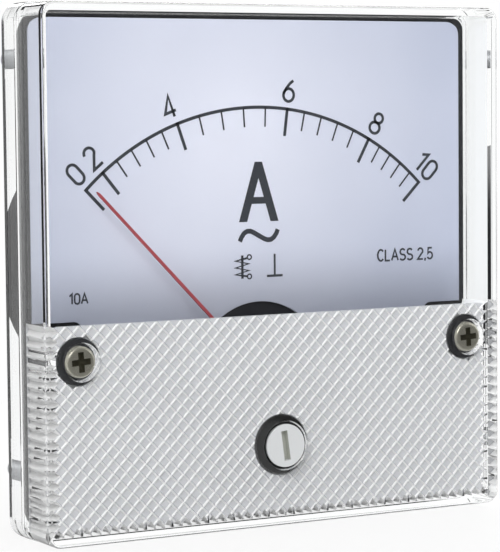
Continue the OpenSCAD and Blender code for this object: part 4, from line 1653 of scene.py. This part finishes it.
@dataclass
class Dial:
    """The enamelled dial with its printed scale, figures and signs.

    Angles are in degrees clockwise from up, round the pointer's axis; the scale, the
    ticks and the figures have their own, as the print has. Signs are drawn in X and Z.
    """

    pivot: Point = PIVOT
    front_y: float = -5.3
    sheet_half: float = 37.3
    sheet_r: float = 2.3
    sheet_rise: float = 0.55
    sheet_edge: float = 0.05
    trim_planes: Point = (-6.0, -4.0)
    lip_half: float = 38.28
    lip_r: float = 1.9
    lip_planes: Point = (-5.18, -4.82)
    lip_edge: float = 0.08
    lip_gap: float = 0.06
    lip_low: float = -7.2
    ink: float = 0.03
    ink_sunk: float = 0.01
    scale_r: float = 42.0
    scale_w: float = 0.5
    scale_steps: int = 120
    major_len: float = 4.45
    major_w: float = 0.5
    minor_len: float = 3.0
    minor_w: float = 0.27
    minors: int = 4
    majors: tuple[tuple[str, float], ...] = (
        ("0", -44.8),
        ("2", -39.6),
        ("4", -19.6),
        ("6", 7.2),
        ("8", 28.8),
        ("10", 45.0),
    )
    figure_turns: tuple[float, ...] = (-44.1, -39.4, -20.2, 7.2, 28.95, 44.0)
    figure_r: float = 44.6
    figure_h: float = 3.3
    pen: float = 0.45
    letter_gap: float = 0.2
    # Each word with its height, middle and pen
    small_words: tuple[tuple[str, float, Point, float], ...] = (
        ("CLASS 2,5", 1.76, (26.9, 0.5), 0.3),
        ("10A", 1.5, (-30.85, -3.95), 0.27),
    )
    wave: tuple[Point, ...] = (
        (-3.4, 3.6),
        (-3.1, 4.25),
        (-2.65, 4.85),
        (-2.1, 5.15),
        (-1.5, 5.15),
        (-0.9, 4.9),
        (0.0, 4.4),
        (0.9, 3.92),
        (1.5, 3.72),
        (2.1, 3.75),
        (2.65, 4.1),
        (3.1, 4.7),
        (3.35, 5.3),
    )
    wave_w: float = 0.76
    upright_x: float = 2.75
    coil_x: float = -3.0
    sign_w: float = 0.34
    foot_w: float = 0.38
    bar_w: float = 0.42
    ring_w: float = 0.22
    ring_r: Point = (0.36, 0.36)

    def build(self) -> list[Piece]:
        """Build the dial sheet, its lip and all of its print.

        Returns:
            The sheet, the lip and the five prints.
        """
        sheet = merged_copy("dial_plate", "dial_sheet")
        loops = [self.edge(self.sheet_half, self.sheet_r, y) for y in self.trim_planes]
        boolean(sheet, loft("trim", loops), Shaping.TRIM)
        soften(sheet, self.sheet_edge)
        enamel = DialEnamelPaintedLight().material()
        finish_piece(sheet, enamel, "dial_paint", replaces=["dial_plate"])
        pieces = [sheet, self.lip()]
        ink = PRINT_INK.material()
        for name, build in (
            ("scale_print", self.scale),
            ("minor_ticks", self.minor_ticks),
            ("figure_print", self.figures),
            ("sign_print", self.signs),
            ("class_words", self.words),
        ):
            pieces.append(finish_piece(build(name), ink, "black_bush"))
        return pieces

    def edge(self, half: float, radius: float, y: float) -> Loop:
        """Return a round-cornered loop whose upper side stands a little higher.

        Args:
            half: Half of the side.
            radius: Corner radius.
            y: Plane of the loop.

        Returns:
            The loop.
        """
        return [
            (x, y, z + (self.sheet_rise if z > 0 else 0.0))
            for x, y, z in rounded_square(half, radius, y)
        ]

    def lip(self) -> Piece:
        """Build the thin black lip that frames the sheet's edge.

        Returns:
            The lip.
        """
        front, back = self.lip_planes
        outer, edge = self.lip_half, self.lip_edge
        inner, inner_r = self.sheet_half + self.lip_gap, self.sheet_r + self.lip_gap
        loops = [
            rounded_square(outer, self.lip_r, back),
            rounded_square(outer, self.lip_r, front + edge),
            rounded_square(outer - edge, self.lip_r - edge, front),
            self.edge(inner, inner_r, front),
            self.edge(inner, inner_r, back),
        ]
        lip = loft("dial_lip", loops, closed=True)
        # The lip ends where the band of cells hides it
        below = block("below", oblong(50, self.lip_low, -50), (front - 2, back + 2))
        soften(boolean(lip, below, Shaping.CUT))
        return finish_piece(lip, BLACK_ABS.material(), "black_plastic")

    def planes(self) -> Point:
        """Return the front and back planes of the ink."""
        return self.front_y - self.ink, self.front_y + self.ink_sunk

    def on_scale(self, turn: float, radius: float) -> Point:
        """Return the point at an angle and a radius, in X and Z."""
        return turned(self.pivot, turn, (0.0, radius))

    def scale(self, name: str) -> Piece:
        """Build the curved line with the main ticks; the outer ones turn its corners.

        Args:
            name: The piece's name.

        Returns:
            The print.
        """
        form = bmesh.new()
        middle = self.scale_r - self.scale_w / 2
        first, last = self.majors[0][1], self.majors[-1][1]
        foot = self.scale_r - self.major_len
        line = [
            self.on_scale(first + (last - first) * i / self.scale_steps, middle)
            for i in range(self.scale_steps + 1)
        ]
        stroke(form, line, self.scale_w, self.planes())
        for _, turn in self.majors:
            ends = [self.on_scale(turn, radius) for radius in (self.scale_r, foot)]
            stroke(form, ends, self.major_w, self.planes())
        bmesh.ops.recalc_face_normals(form, faces=form.faces)
        return from_bmesh(name, form)

    def tick_tree(self, tree: Tree, source: Node) -> Socket:
        """Add rows of points whose X is the tick's angle, and a tick on each.

        Args:
            tree: The tree of the fine ticks.
            source: The node with the tree's inputs.

        Returns:
            The ticks in their places.
        """
        given = source.outputs
        rows = add(tree, "GeometryNodeJoinGeometry")
        turns = [math.radians(turn) for _, turn in self.majors]
        for low, high in zip(turns[1:], turns[2:]):
            step = (high - low) / (self.minors + 1)
            row = add(
                tree,
                "GeometryNodeMeshLine",
                {
                    "Count": self.minors,
                    "Start Location": (low + step, 0.0, 0.0),
                    "Offset": (step, 0.0, 0.0),
                },
            ).outputs["Mesh"]
            tree.links.new(row, rows.inputs[0])
        place = add(tree, "GeometryNodeInputPosition").outputs[0]
        turn = add(tree, "ShaderNodeSeparateXYZ", {0: place}).outputs["X"]
        # The angle is kept, because the points leave it when they get their place
        kept = add(tree, "GeometryNodeCaptureAttribute", {"Geometry": rows.outputs[0]})
        kept.capture_items.new("FLOAT", "Turn")
        tree.links.new(turn, kept.inputs["Turn"])
        sine = add(tree, "ShaderNodeMath", {0: turn}, operation="SINE").outputs[0]
        cosine = add(tree, "ShaderNodeMath", {0: turn}, operation="COSINE").outputs[0]
        across = add(
            tree, "ShaderNodeMath", {0: sine, 1: given["Radius"]}, operation="MULTIPLY"
        ).outputs[0]
        up = add(
            tree,
            "ShaderNodeMath",
            {0: cosine, 1: given["Radius"], 2: given["Pivot"]},
            operation="MULTIPLY_ADD",
        ).outputs[0]
        spot = add(
            tree, "ShaderNodeCombineXYZ", {"X": across, "Y": given["Plane"], "Z": up}
        ).outputs[0]
        points = add(
            tree,
            "GeometryNodeSetPosition",
            {"Geometry": kept.outputs["Geometry"], "Position": spot},
        ).outputs[0]
        size = add(
            tree,
            "ShaderNodeCombineXYZ",
            {"X": given["Width"], "Y": given["Ink"], "Z": given["Length"]},
        ).outputs[0]
        tick = add(tree, "GeometryNodeMeshCube", {"Size": size}).outputs["Mesh"]
        lean = add(tree, "ShaderNodeCombineXYZ", {"Y": kept.outputs["Turn"]}).outputs[0]
        return add(
            tree,
            "GeometryNodeInstanceOnPoints",
            {"Points": points, "Instance": tick, "Rotation": lean},
        ).outputs[0]

    def minor_ticks(self, name: str) -> Piece:
        """Grow the fine ticks in each step of the scale after the first.

        Args:
            name: The piece's name.

        Returns:
            The print.
        """
        return grown(
            name,
            self.tick_tree,
            Radius=(self.scale_r - self.scale_w / 2 - self.minor_len / 2) * MM,
            Pivot=self.pivot[1] * MM,
            Plane=sum(self.planes()) / 2 * MM,
            Width=self.minor_w * MM,
            Ink=(self.ink + self.ink_sunk) * MM,
            Length=self.minor_len * MM,
        )

    def figures(self, name: str) -> Piece:
        """Build the figures along the scale, each leaning with its tick.

        Args:
            name: The piece's name.

        Returns:
            The print.
        """
        form = bmesh.new()
        for (label, _), turn in zip(self.majors, self.figure_turns):
            at = self.on_scale(turn, self.figure_r)
            self.write(form, label, self.figure_h, at, self.pen, turn)
        return from_bmesh(name, form)

    def write(
        self,
        form: bmesh.types.BMesh,
        label: str,
        height: float,
        at: Point,
        pen: float,
        turn: float = 0.0,
    ) -> None:
        """Write figures or capitals with a round pen.

        Args:
            form: The form that gets the strokes.
            label: What is written.
            height: Height of the capitals.
            at: Middle of the label, in X and Z.
            pen: Width of the strokes.
            turn: Lean of the label, in degrees clockwise.
        """
        word = [GLYPHS[letter] for letter in label]
        start = -(sum(g.width for g in word) + self.letter_gap * (len(word) - 1)) / 2
        for glyph in word:
            for paths, closed in ((glyph.rings, True), (glyph.lines, False)):
                for path in paths:
                    points = [
                        turned(at, turn, ((start + x) * height, (z - 0.5) * height))
                        for x, z in path
                    ]
                    stroke(form, points, pen, self.planes(), closed)
            start += glyph.width + self.letter_gap
        bmesh.ops.recalc_face_normals(form, faces=form.faces)

    def signs(self, name: str) -> Piece:
        """Build the letter for amperes, the wave, and the signs of movement and stand.

        Args:
            name: The piece's name.

        Returns:
            The print.
        """
        form = bmesh.new()
        planes = self.planes()
        AmpereLetter().draw(form, planes)
        stroke(form, self.wave, self.wave_w, planes)
        # An upright line on a short foot: the meter is used upright
        x = self.upright_x
        stroke(form, [(x, 1.5), (x, -1.75)], self.sign_w, planes)
        stroke(form, [(x - 1.4, -1.9), (x + 1.4, -1.9)], self.foot_w, planes)
        # A coil wound over an iron bar, with a ring at each of its ends
        x = self.coil_x
        left, right, end = x - 1.2, x + 1.15, x + 1.25
        stroke(form, [(x, 1.45), (x, -2.15)], self.bar_w, planes)
        coil = [(end - 0.45, 1.0), (left, 0.6), (right, 0.12), (left, -0.45)]
        coil += [(right, -0.93), (left, -1.5), (end - 0.45, -1.8)]
        stroke(form, coil, self.sign_w, planes)
        for z in (1.15, -1.85):
            stroke(form, ring((end, z), self.ring_r, 16), self.ring_w, planes, True)
        bmesh.ops.recalc_face_normals(form, faces=form.faces)
        return from_bmesh(name, form)

    def words(self, name: str) -> Piece:
        """Build the small words of the accuracy class and the range.

        Args:
            name: The piece's name.

        Returns:
            The print.
        """
        form = bmesh.new()
        for label, height, at, pen in self.small_words:
            self.write(form, label, height, at, pen)
        return from_bmesh(name, form)


# ---------- Pieces that keep their CAD form ----------


@dataclass(frozen=True)
class Helix:
    """A ridge or wire wound round an axis along Y, grown with Geometry Nodes.

    depth is half of its height over its middle line; sides is 4 for a screw thread and
    more for a round wire. steps is the number of faces in each turn.
    """

    centre: Point
    radius: float
    pitch: float
    start: float
    end: float
    depth: float
    sides: int = 4
    steps: int = 32

    def winding_tree(self, tree: Tree, source: Node) -> Socket:
        """Sweep a small profile along a spiral and lay it along Y.

        Args:
            tree: The tree of the winding.
            source: The node with the tree's inputs.

        Returns:
            The winding in its place.
        """
        given = source.outputs
        spiral = add(
            tree,
            "GeometryNodeCurveSpiral",
            {
                "Resolution": self.steps,
                "Rotations": given["Turns"],
                "Start Radius": given["Radius"],
                "End Radius": given["Radius"],
                "Height": given["Length"],
            },
        ).outputs[0]
        upright = add(
            tree, "GeometryNodeSetCurveNormal", {"Curve": spiral}, mode="Z_UP"
        ).outputs[0]
        profile = add(
            tree,
            "GeometryNodeCurvePrimitiveCircle",
            {"Resolution": self.sides, "Radius": given["Depth"]},
        ).outputs[0]
        swept = add(
            tree,
            "GeometryNodeCurveToMesh",
            {"Curve": upright, "Profile Curve": profile, "Fill Caps": True},
        ).outputs[0]
        x, z = self.centre
        return add(
            tree,
            "GeometryNodeTransform",
            {
                "Geometry": swept,
                "Translation": (x * MM, self.start * MM, z * MM),
                "Rotation": (-math.pi / 2, 0.0, 0.0),
            },
        ).outputs[0]

    def wind(self, core: Piece) -> None:
        """Cut a core down under the winding and lay the winding on it.

        Args:
            core: The piece that gets the winding; it changes.
        """
        # A thread is sunk by its whole height, and a wire lies in by half of it
        sunk = 2 if self.sides == 4 else 1
        radii = (self.radius - sunk * self.depth, self.radius + 1)
        cut = sleeve("cut", self.centre, radii, (self.start, self.end))
        boolean(core, cut, Shaping.CUT)
        ridge = grown(
            "winding",
            self.winding_tree,
            Turns=(self.end - self.start) / self.pitch,
            Radius=(self.radius - self.depth) * MM,
            Length=(self.end - self.start) * MM,
            Depth=self.depth * MM,
        )
        form = bmesh.new()
        form.from_mesh(core.data)
        form.from_mesh(ridge.data)
        bmesh.ops.recalc_face_normals(form, faces=form.faces)
        form.to_mesh(core.data)
        form.free()
        bpy.data.objects.remove(ridge)


@dataclass
class PlainPart:
    """A piece that keeps its CAD form, with its edges rounded and its own finish.

    A helix winds a thread or wire round it; barrel gives the radii of a nut's faces and
    of its corners, which are turned off between them by barrel_share of their height.
    """

    node: str
    finish: Finish
    slot: str
    body: str = "housing"
    edge: float = 0.08
    centre: Point = (0.0, 0.0)
    helix: Helix | None = None
    barrel: Point | None = None
    barrel_share: float = 0.6

    def build(self) -> Piece:
        """Build the piece over its CAD node.

        Returns:
            The piece.
        """
        obj = merged_copy(self.node, f"{self.node}_look")
        if self.barrel:
            self.turn_corners(obj, *self.barrel)
        if self.helix:
            self.helix.wind(obj)
        soften(obj, 0.0 if self.helix else self.edge)
        material = self.finish.material(self.centre)
        return finish_piece(obj, material, self.slot, self.body, [self.node])

    def turn_corners(self, nut: Piece, face_r: float, corner_r: float) -> None:
        """Turn off the corners of a nut at both of its faces.

        Args:
            nut: The nut, which changes.
            face_r: Radius of what stays flat on a face.
            corner_r: Radius that holds all of the nut.
        """
        planes = [vert.co.y / MM for vert in nut.data.vertices]
        front, back = min(planes), max(planes)
        drop = (corner_r - face_r) * self.barrel_share
        rings = (
            (face_r, front - 0.001),
            (corner_r, front + drop),
            (corner_r, back - drop),
            (face_r, back + 0.001),
        )
        boolean(nut, lathe("barrel", rings, self.centre, 96), Shaping.TRIM)


@dataclass
class PartGroup:
    """A sub-assembly whose pieces all keep their CAD form."""

    def parts(self) -> list[PlainPart]:
        """Return the group's parts, in the order of building."""
        raise NotImplementedError

    def build(self) -> list[Piece]:
        """Build every part of the group and return the pieces."""
        return [part.build() for part in self.parts()]


@dataclass
class Casing(PartGroup):
    """The film behind the band, the case, the dark plate and the adjuster's bush."""

    film_edge: float = 0.03
    case_edge: float = 0.2
    plate_edge: float = 0.1

    def parts(self) -> list[PlainPart]:
        """Return the casing's parts.

        Returns:
            The parts, in the order of building.
        """
        return [
            PlainPart("masking_film", FILM, "film_polyester", edge=self.film_edge),
            PlainPart("rear_case", BLACK_ABS, "black_plastic", edge=self.case_edge),
            PlainPart(
                "movement_frame", BLACKENED_STEEL, "black_plate", edge=self.plate_edge
            ),
            PlainPart("adjuster_bush", BUSH_NYLON, "black_bush", edge=self.case_edge),
        ]


@dataclass
class Movement(PartGroup):
    """The moving-iron movement: bridges, bearings, coil, vanes, spring and spindle."""

    pivot: Point = PIVOT
    winding: Helix = Helix(
        PIVOT, 10.6, pitch=0.5, start=-1.98, end=6.48, depth=0.25, sides=12, steps=96
    )

    def parts(self) -> list[PlainPart]:
        """Return the movement's parts.

        Returns:
            The parts, in the order of building: what stands still, the lever with the
            spring, and what turns with the pointer.
        """
        at = self.pivot
        return [
            PlainPart("front_bridge", BRIGHT_STEEL, "frame_plate", edge=0.06),
            PlainPart("rear_bridge", BRIGHT_STEEL, "frame_plate"),
            PlainPart("front_bearing_screw", BRASS, "brass", centre=at, edge=0.05),
            PlainPart("front_lock_nut", BRASS, "brass", centre=at),
            PlainPart("rear_bearing_screw", BRASS, "brass", centre=at, edge=0.05),
            PlainPart("rear_lock_nut", BRASS, "brass", centre=at),
            PlainPart("coil_bobbin", IVORY_NYLON, "bobbin_plastic", edge=0.12),
            PlainPart(
                "coil_winding",
                ENAMELLED_COPPER,
                "copper_wire",
                centre=at,
                helix=self.winding,
            ),
            PlainPart("fixed_vane", SOFT_IRON, "soft_iron", edge=0.04),
            PlainPart("brake_magnet", FERRITE, "magnet", edge=0.15),
            PlainPart("zero_lever", BRASS, "brass", "lever", 0.05, at),
            PlainPart("hairspring", SPRING_BRONZE, "spring_bronze", "lever", 0.0),
            PlainPart("hairspring_collet", BRASS, "brass", "movement", 0.05, at),
            PlainPart("balance_weights", BRASS, "brass", "movement", 0.06, at),
            PlainPart("spindle", BRIGHT_STEEL, "steel", "movement", 0.04),
            PlainPart("moving_vane", SOFT_IRON, "soft_iron", "movement", 0.03),
            PlainPart(
                "damping_vane", VANE_ALUMINIUM, "vane_aluminium", "movement", 0.03
            ),
        ]


@dataclass
class Fixings(PartGroup):
    """The small screws, the coil's leads, the two terminals and the four studs.

    The terminals have a thread of M4 and the studs one of M3, each given by its radius
    and its pitch, and by the planes between which it is cut.
    """

    dial_screw_at: Point = (17.0, -10.2)
    frame_screw_at: Point = (27.2, -17.5)
    terminal_at: Point = (15.0, 5.0)
    terminal_thread: Point = (2.0, 0.7)
    terminal_planes: Point = (25.6, 34.0)
    nut_barrel: Point = (3.42, 4.1)
    stud_at: float = 32.0
    stud_thread: Point = (1.5, 0.5)
    stud_planes: Point = (1.0, 15.3)

    def parts(self) -> list[PlainPart]:
        """Return the fixings.

        Returns:
            The parts of the left side, those of the right side, and the studs.
        """
        parts = [part for side, sign in SIDES for part in self.at_side(side, sign)]
        corners = ((1, -1, -1), (2, 1, -1), (3, -1, 1), (4, 1, 1))
        for number, sx, sz in corners:
            at = (sx * self.stud_at, sz * self.stud_at)
            thread = self.thread(at, self.stud_thread, self.stud_planes)
            name = f"mounting_stud_{number}"
            parts.append(PlainPart(name, ZINC, "steel", centre=at, helix=thread))
        return parts

    def thread(self, at: Point, size: Point, planes: Point) -> Helix:
        """Return a thread from its radius and pitch and the planes of its ends."""
        return Helix(at, *size, *planes, depth=size[1] / 2)

    def at_side(self, side: str, sign: int) -> list[PlainPart]:
        """Return the screws, lead and terminal of one side.

        Args:
            side: The side's name.
            sign: 1 for the right side and -1 for the left one.

        Returns:
            The parts, in the order of building.
        """
        nickel = (PASSIVATED_STEEL, "screw_nickel")
        dial_at = on_side(self.dial_screw_at, sign)
        frame_at = on_side(self.frame_screw_at, sign)
        at = on_side(self.terminal_at, sign)
        thread = self.thread(at, self.terminal_thread, self.terminal_planes)
        stud, washer = f"terminal_stud_{side}", f"terminal_washer_{side}"
        lock, nut = f"terminal_lock_washer_{side}", f"terminal_nut_{side}"
        return [
            PlainPart(f"dial_screw_{side}", *nickel, centre=dial_at),
            PlainPart(f"frame_screw_{side}", *nickel, centre=frame_at),
            PlainPart(f"front_bridge_screw_{side}", *nickel),
            PlainPart(f"rear_bridge_screw_{side}", *nickel),
            PlainPart(f"coil_lead_{side}", ENAMELLED_COPPER, "copper_wire", edge=0.05),
            PlainPart(stud, BRASS, "brass", centre=at, helix=thread),
            PlainPart(washer, BRASS, "brass", centre=at),
            PlainPart(lock, BRIGHT_STEEL, "steel", centre=at),
            PlainPart(nut, BRASS, "brass", centre=at, barrel=self.nut_barrel),
        ]


# ---------- Pieces in sight with a form of their own ----------


@dataclass
class CoverScrew:
    """A pan head screw with a cross recess, seated in the cover.

    The head is flat to top_r, falls a little to dome_r and is rounded at its rim; the
    recess narrows to a small point below its floor, and keeps the bright steel down to
    shade_from_depth, with painted shade deeper in.
    """

    side: str
    sign: int
    at: Point = COVER_SCREW_AT
    head_r: float = 2.35
    top_r: float = 0.9
    dome_r: float = 1.7
    dome_drop: float = 0.03
    rim_drop: float = 0.05
    rim_w: float = 0.5
    rim_h: float = 0.55
    front_y: float = -13.55
    seat_y: float = -12.3
    shank_r: float = 1.25
    end_y: float = -4.2
    point: float = 0.3
    turn: float = -4.0
    arm: float = 1.5
    half_w: float = 0.46
    depth: float = 0.7
    floor_share: float = 0.75
    floor_point: Point = (0.34, 0.2)
    floor_drop: float = 0.3
    edge: float = 0.05
    shade_from_depth: float = 0.08

    def build(self) -> list[Piece]:
        """Build the turned screw and cut its recess.

        Returns:
            The screw.
        """
        centre = on_side(self.at, self.sign)
        rings = [
            (self.top_r, self.front_y),
            (self.dome_r, self.front_y + self.dome_drop),
        ]
        rings += [
            (
                self.head_r - self.rim_w * side,
                self.front_y + self.rim_drop + self.rim_h * drop,
            )
            for side, drop in quarter(1.0, 5)
        ]
        rings += [
            (self.head_r, self.seat_y),
            (self.shank_r, self.seat_y),
            (self.shank_r, self.end_y - self.point),
            (self.shank_r - self.point, self.end_y),
        ]
        node = f"cover_screw_{self.side}"
        obj = lathe(f"{node}_look", rings, centre, 64)
        boolean(obj, self.recess(centre), Shaping.CUT)
        soften(obj, self.edge)
        steel = PASSIVATED_STEEL.material(centre)
        finish_piece(obj, steel, "screw_nickel", replaces=[node])
        # Painted shade: the faces of the recess deeper than shade_from_depth get a dark
        # olive grey
        obj.data.materials.append(RECESS_PAINTED_SHADE.material(centre))
        for face in obj.data.polygons:
            x, y, z = (c / MM for c in face.center)
            away, deep = math.hypot(x - centre[0], z - centre[1]), y - self.front_y
            if self.shade_from_depth < deep < self.depth + 0.5 and away < self.arm + self.edge:
                face.material_index = 1
        return [obj]

    def recess(self, centre: Point) -> Piece:
        """Make the tapered cross that is cut from the head.

        Args:
            centre: The screw's axis, in X and Z.

        Returns:
            The cross.
        """
        share, floor = self.floor_share, self.front_y + self.depth
        loops = []
        for y, arm, half in (
            (self.front_y - 0.5, self.arm + 3 * self.edge, self.half_w + self.edge),
            (self.front_y + self.edge, self.arm, self.half_w),
            (floor, share * self.arm, share * self.half_w),
            (floor + self.floor_drop, *self.floor_point),
        ):
            right = [(half, arm), (half, half), (arm, half)]
            right += [(x, -z) for x, z in right[::-1]]
            outline = right + [(-x, -z) for x, z in right]
            spots = [turned(centre, self.turn, spot) for spot in outline]
            loops.append([(x, y, z) for x, z in spots])
        return loft("recess", loops)


@dataclass
class Pointer:
    """The red pointer: a slim tapered arm, its hub, and the tail under the weights."""

    pivot: Point = PIVOT
    turn: float = -44.2
    planes: Point = (-7.6, -7.2)
    length: float = 41.0
    root_z: float = 0.4
    root_w: float = 0.5
    tip_w: float = 0.38
    point: float = 0.5
    point_w: float = 0.12
    tail: float = 8.6
    tail_w: float = 0.6
    hub_r: float = 1.6
    hub_step: float = 0.5
    hub_front: float = 0.15
    hub_back: float = 0.6
    bore_r: float = 0.52
    edge: float = 0.04

    def build(self) -> list[Piece]:
        """Build the pointer as one blank with its bore.

        Returns:
            The pointer.
        """
        right = [
            (self.point_w / 2, self.length),
            (self.tip_w / 2, self.length - self.point),
            (self.root_w / 2, self.root_z),
            (self.tail_w / 2, -self.tail),
        ]
        left = [(-x, z) for x, z in right[::-1]]
        # The outline starts at the root of its left side
        outline = left[1:] + right + left[:1]
        spots = [turned(self.pivot, self.turn, spot) for spot in outline]
        arm = block("pointer_look", spots, self.planes)
        front, back = self.planes
        low, high = front - self.hub_front, back + self.hub_back
        boss_r = self.hub_r - self.hub_step
        rings = ((boss_r, low), (boss_r, front), (self.hub_r, front))
        rings += ((self.hub_r, back), (boss_r, back), (boss_r, high))
        boolean(arm, lathe("hub", rings, self.pivot), Shaping.JOIN)
        bore = ((self.bore_r, low - 1), (self.bore_r, high + 1))
        boolean(arm, lathe("bore", bore, self.pivot), Shaping.CUT)
        soften(arm, self.edge)
        lacquer = RED_LACQUER.material()
        return [finish_piece(arm, lacquer, "red_paint", "movement", ["pointer"])]


@dataclass
class ZeroAdjuster:
    """The white zero adjuster with its slot, and the black collar round its disc."""

    centre: Point = ADJUSTER_AT
    front_y: float = -13.9
    disc_r: float = 3.3
    disc_back_y: float = -13.45
    neck_r: float = 2.7
    neck_back_y: float = -11.5
    edge: float = 0.12
    slot_half: Point = (0.53, 2.3)
    slot_turn: float = -7.5
    slot_depth: float = 1.0
    slot_lip: float = 0.16
    collar_radii: Point = (3.38, 3.66)
    collar_planes: Point = (-13.55, -11.82)
    collar_edge: float = 0.05

    def build(self) -> list[Piece]:
        """Build the adjuster and its collar.

        Returns:
            The adjuster and the collar.
        """
        return [self.adjuster(), self.collar()]

    def adjuster(self) -> Piece:
        """Turn down the disc of the CAD form and cut its slot, with painted shade on
        its floor and walls.

        Returns:
            The adjuster.
        """
        obj = merged_copy("zero_adjuster", "zero_adjuster_look")
        wide = self.disc_r + 1
        for inner, front in (
            (self.disc_r, self.front_y - 1),
            (self.neck_r, self.disc_back_y),
        ):
            planes = (front, self.neck_back_y)
            cut = sleeve("cut", self.centre, (inner, wide), planes, 96)
            boolean(obj, cut, Shaping.CUT)
        boolean(obj, self.slot(), Shaping.CUT)
        soften(obj, self.edge)
        nylon = WHITE_NYLON.material(self.centre)
        finish_piece(obj, nylon, "white_plastic", "adjuster", ["zero_adjuster"])
        # The floor and walls of the slot get painted shade, a grey olive
        obj.data.materials.append(SLOT_PAINTED_SHADE.material(self.centre))
        half_w, half_l = self.slot_half
        for face in obj.data.polygons:
            x, y, z = (c / MM for c in face.center)
            away = (x - self.centre[0], z - self.centre[1])
            across, along = turned((0.0, 0.0), -self.slot_turn, away)
            inside = abs(across) < half_w and abs(along) < half_l
            if inside and self.slot_lip < y - self.front_y < self.slot_depth + 0.2:
                face.material_index = 1
        return obj

    def slot(self) -> Piece:
        """Make the block that is cut from the disc for the screwdriver.

        Returns:
            The block.
        """
        w, l = self.slot_half
        corners = ((w, l), (w, -l), (-w, -l), (-w, l))
        spots = [turned(self.centre, self.slot_turn, spot) for spot in corners]
        planes = (self.front_y - 1, self.front_y + self.slot_depth + 0.01)
        return block("slot", spots, planes)

    def collar(self) -> Piece:
        """Turn the black collar that stands in the cover's hole round the disc.

        Returns:
            The collar.
        """
        collar = sleeve(
            "bush_collar", self.centre, self.collar_radii, self.collar_planes, 96
        )
        soften(collar, self.collar_edge)
        return finish_piece(collar, BUSH_NYLON.material(), "black_bush")


def main() -> None:
    """Build the meter and its studio, and note its size."""
    logging.basicConfig(level=logging.INFO, format="%(name)s: %(message)s")
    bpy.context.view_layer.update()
    bpy.context.scene.view_settings.view_transform = "Standard"
    StudioCamera().build()
    Studio().build()
    assemblies: list[Assembly] = [ClearCover(), Dial(), ZeroAdjuster(), Pointer()]
    assemblies += [CoverScrew(side, sign) for side, sign in SIDES]
    assemblies += [Casing(), Movement(), Fixings()]
    for assembly in assemblies:
        for piece in assembly.build():
            log.info("%s, %d faces", piece.name, len(piece.data.polygons))


if __name__ == "__main__":
    main()
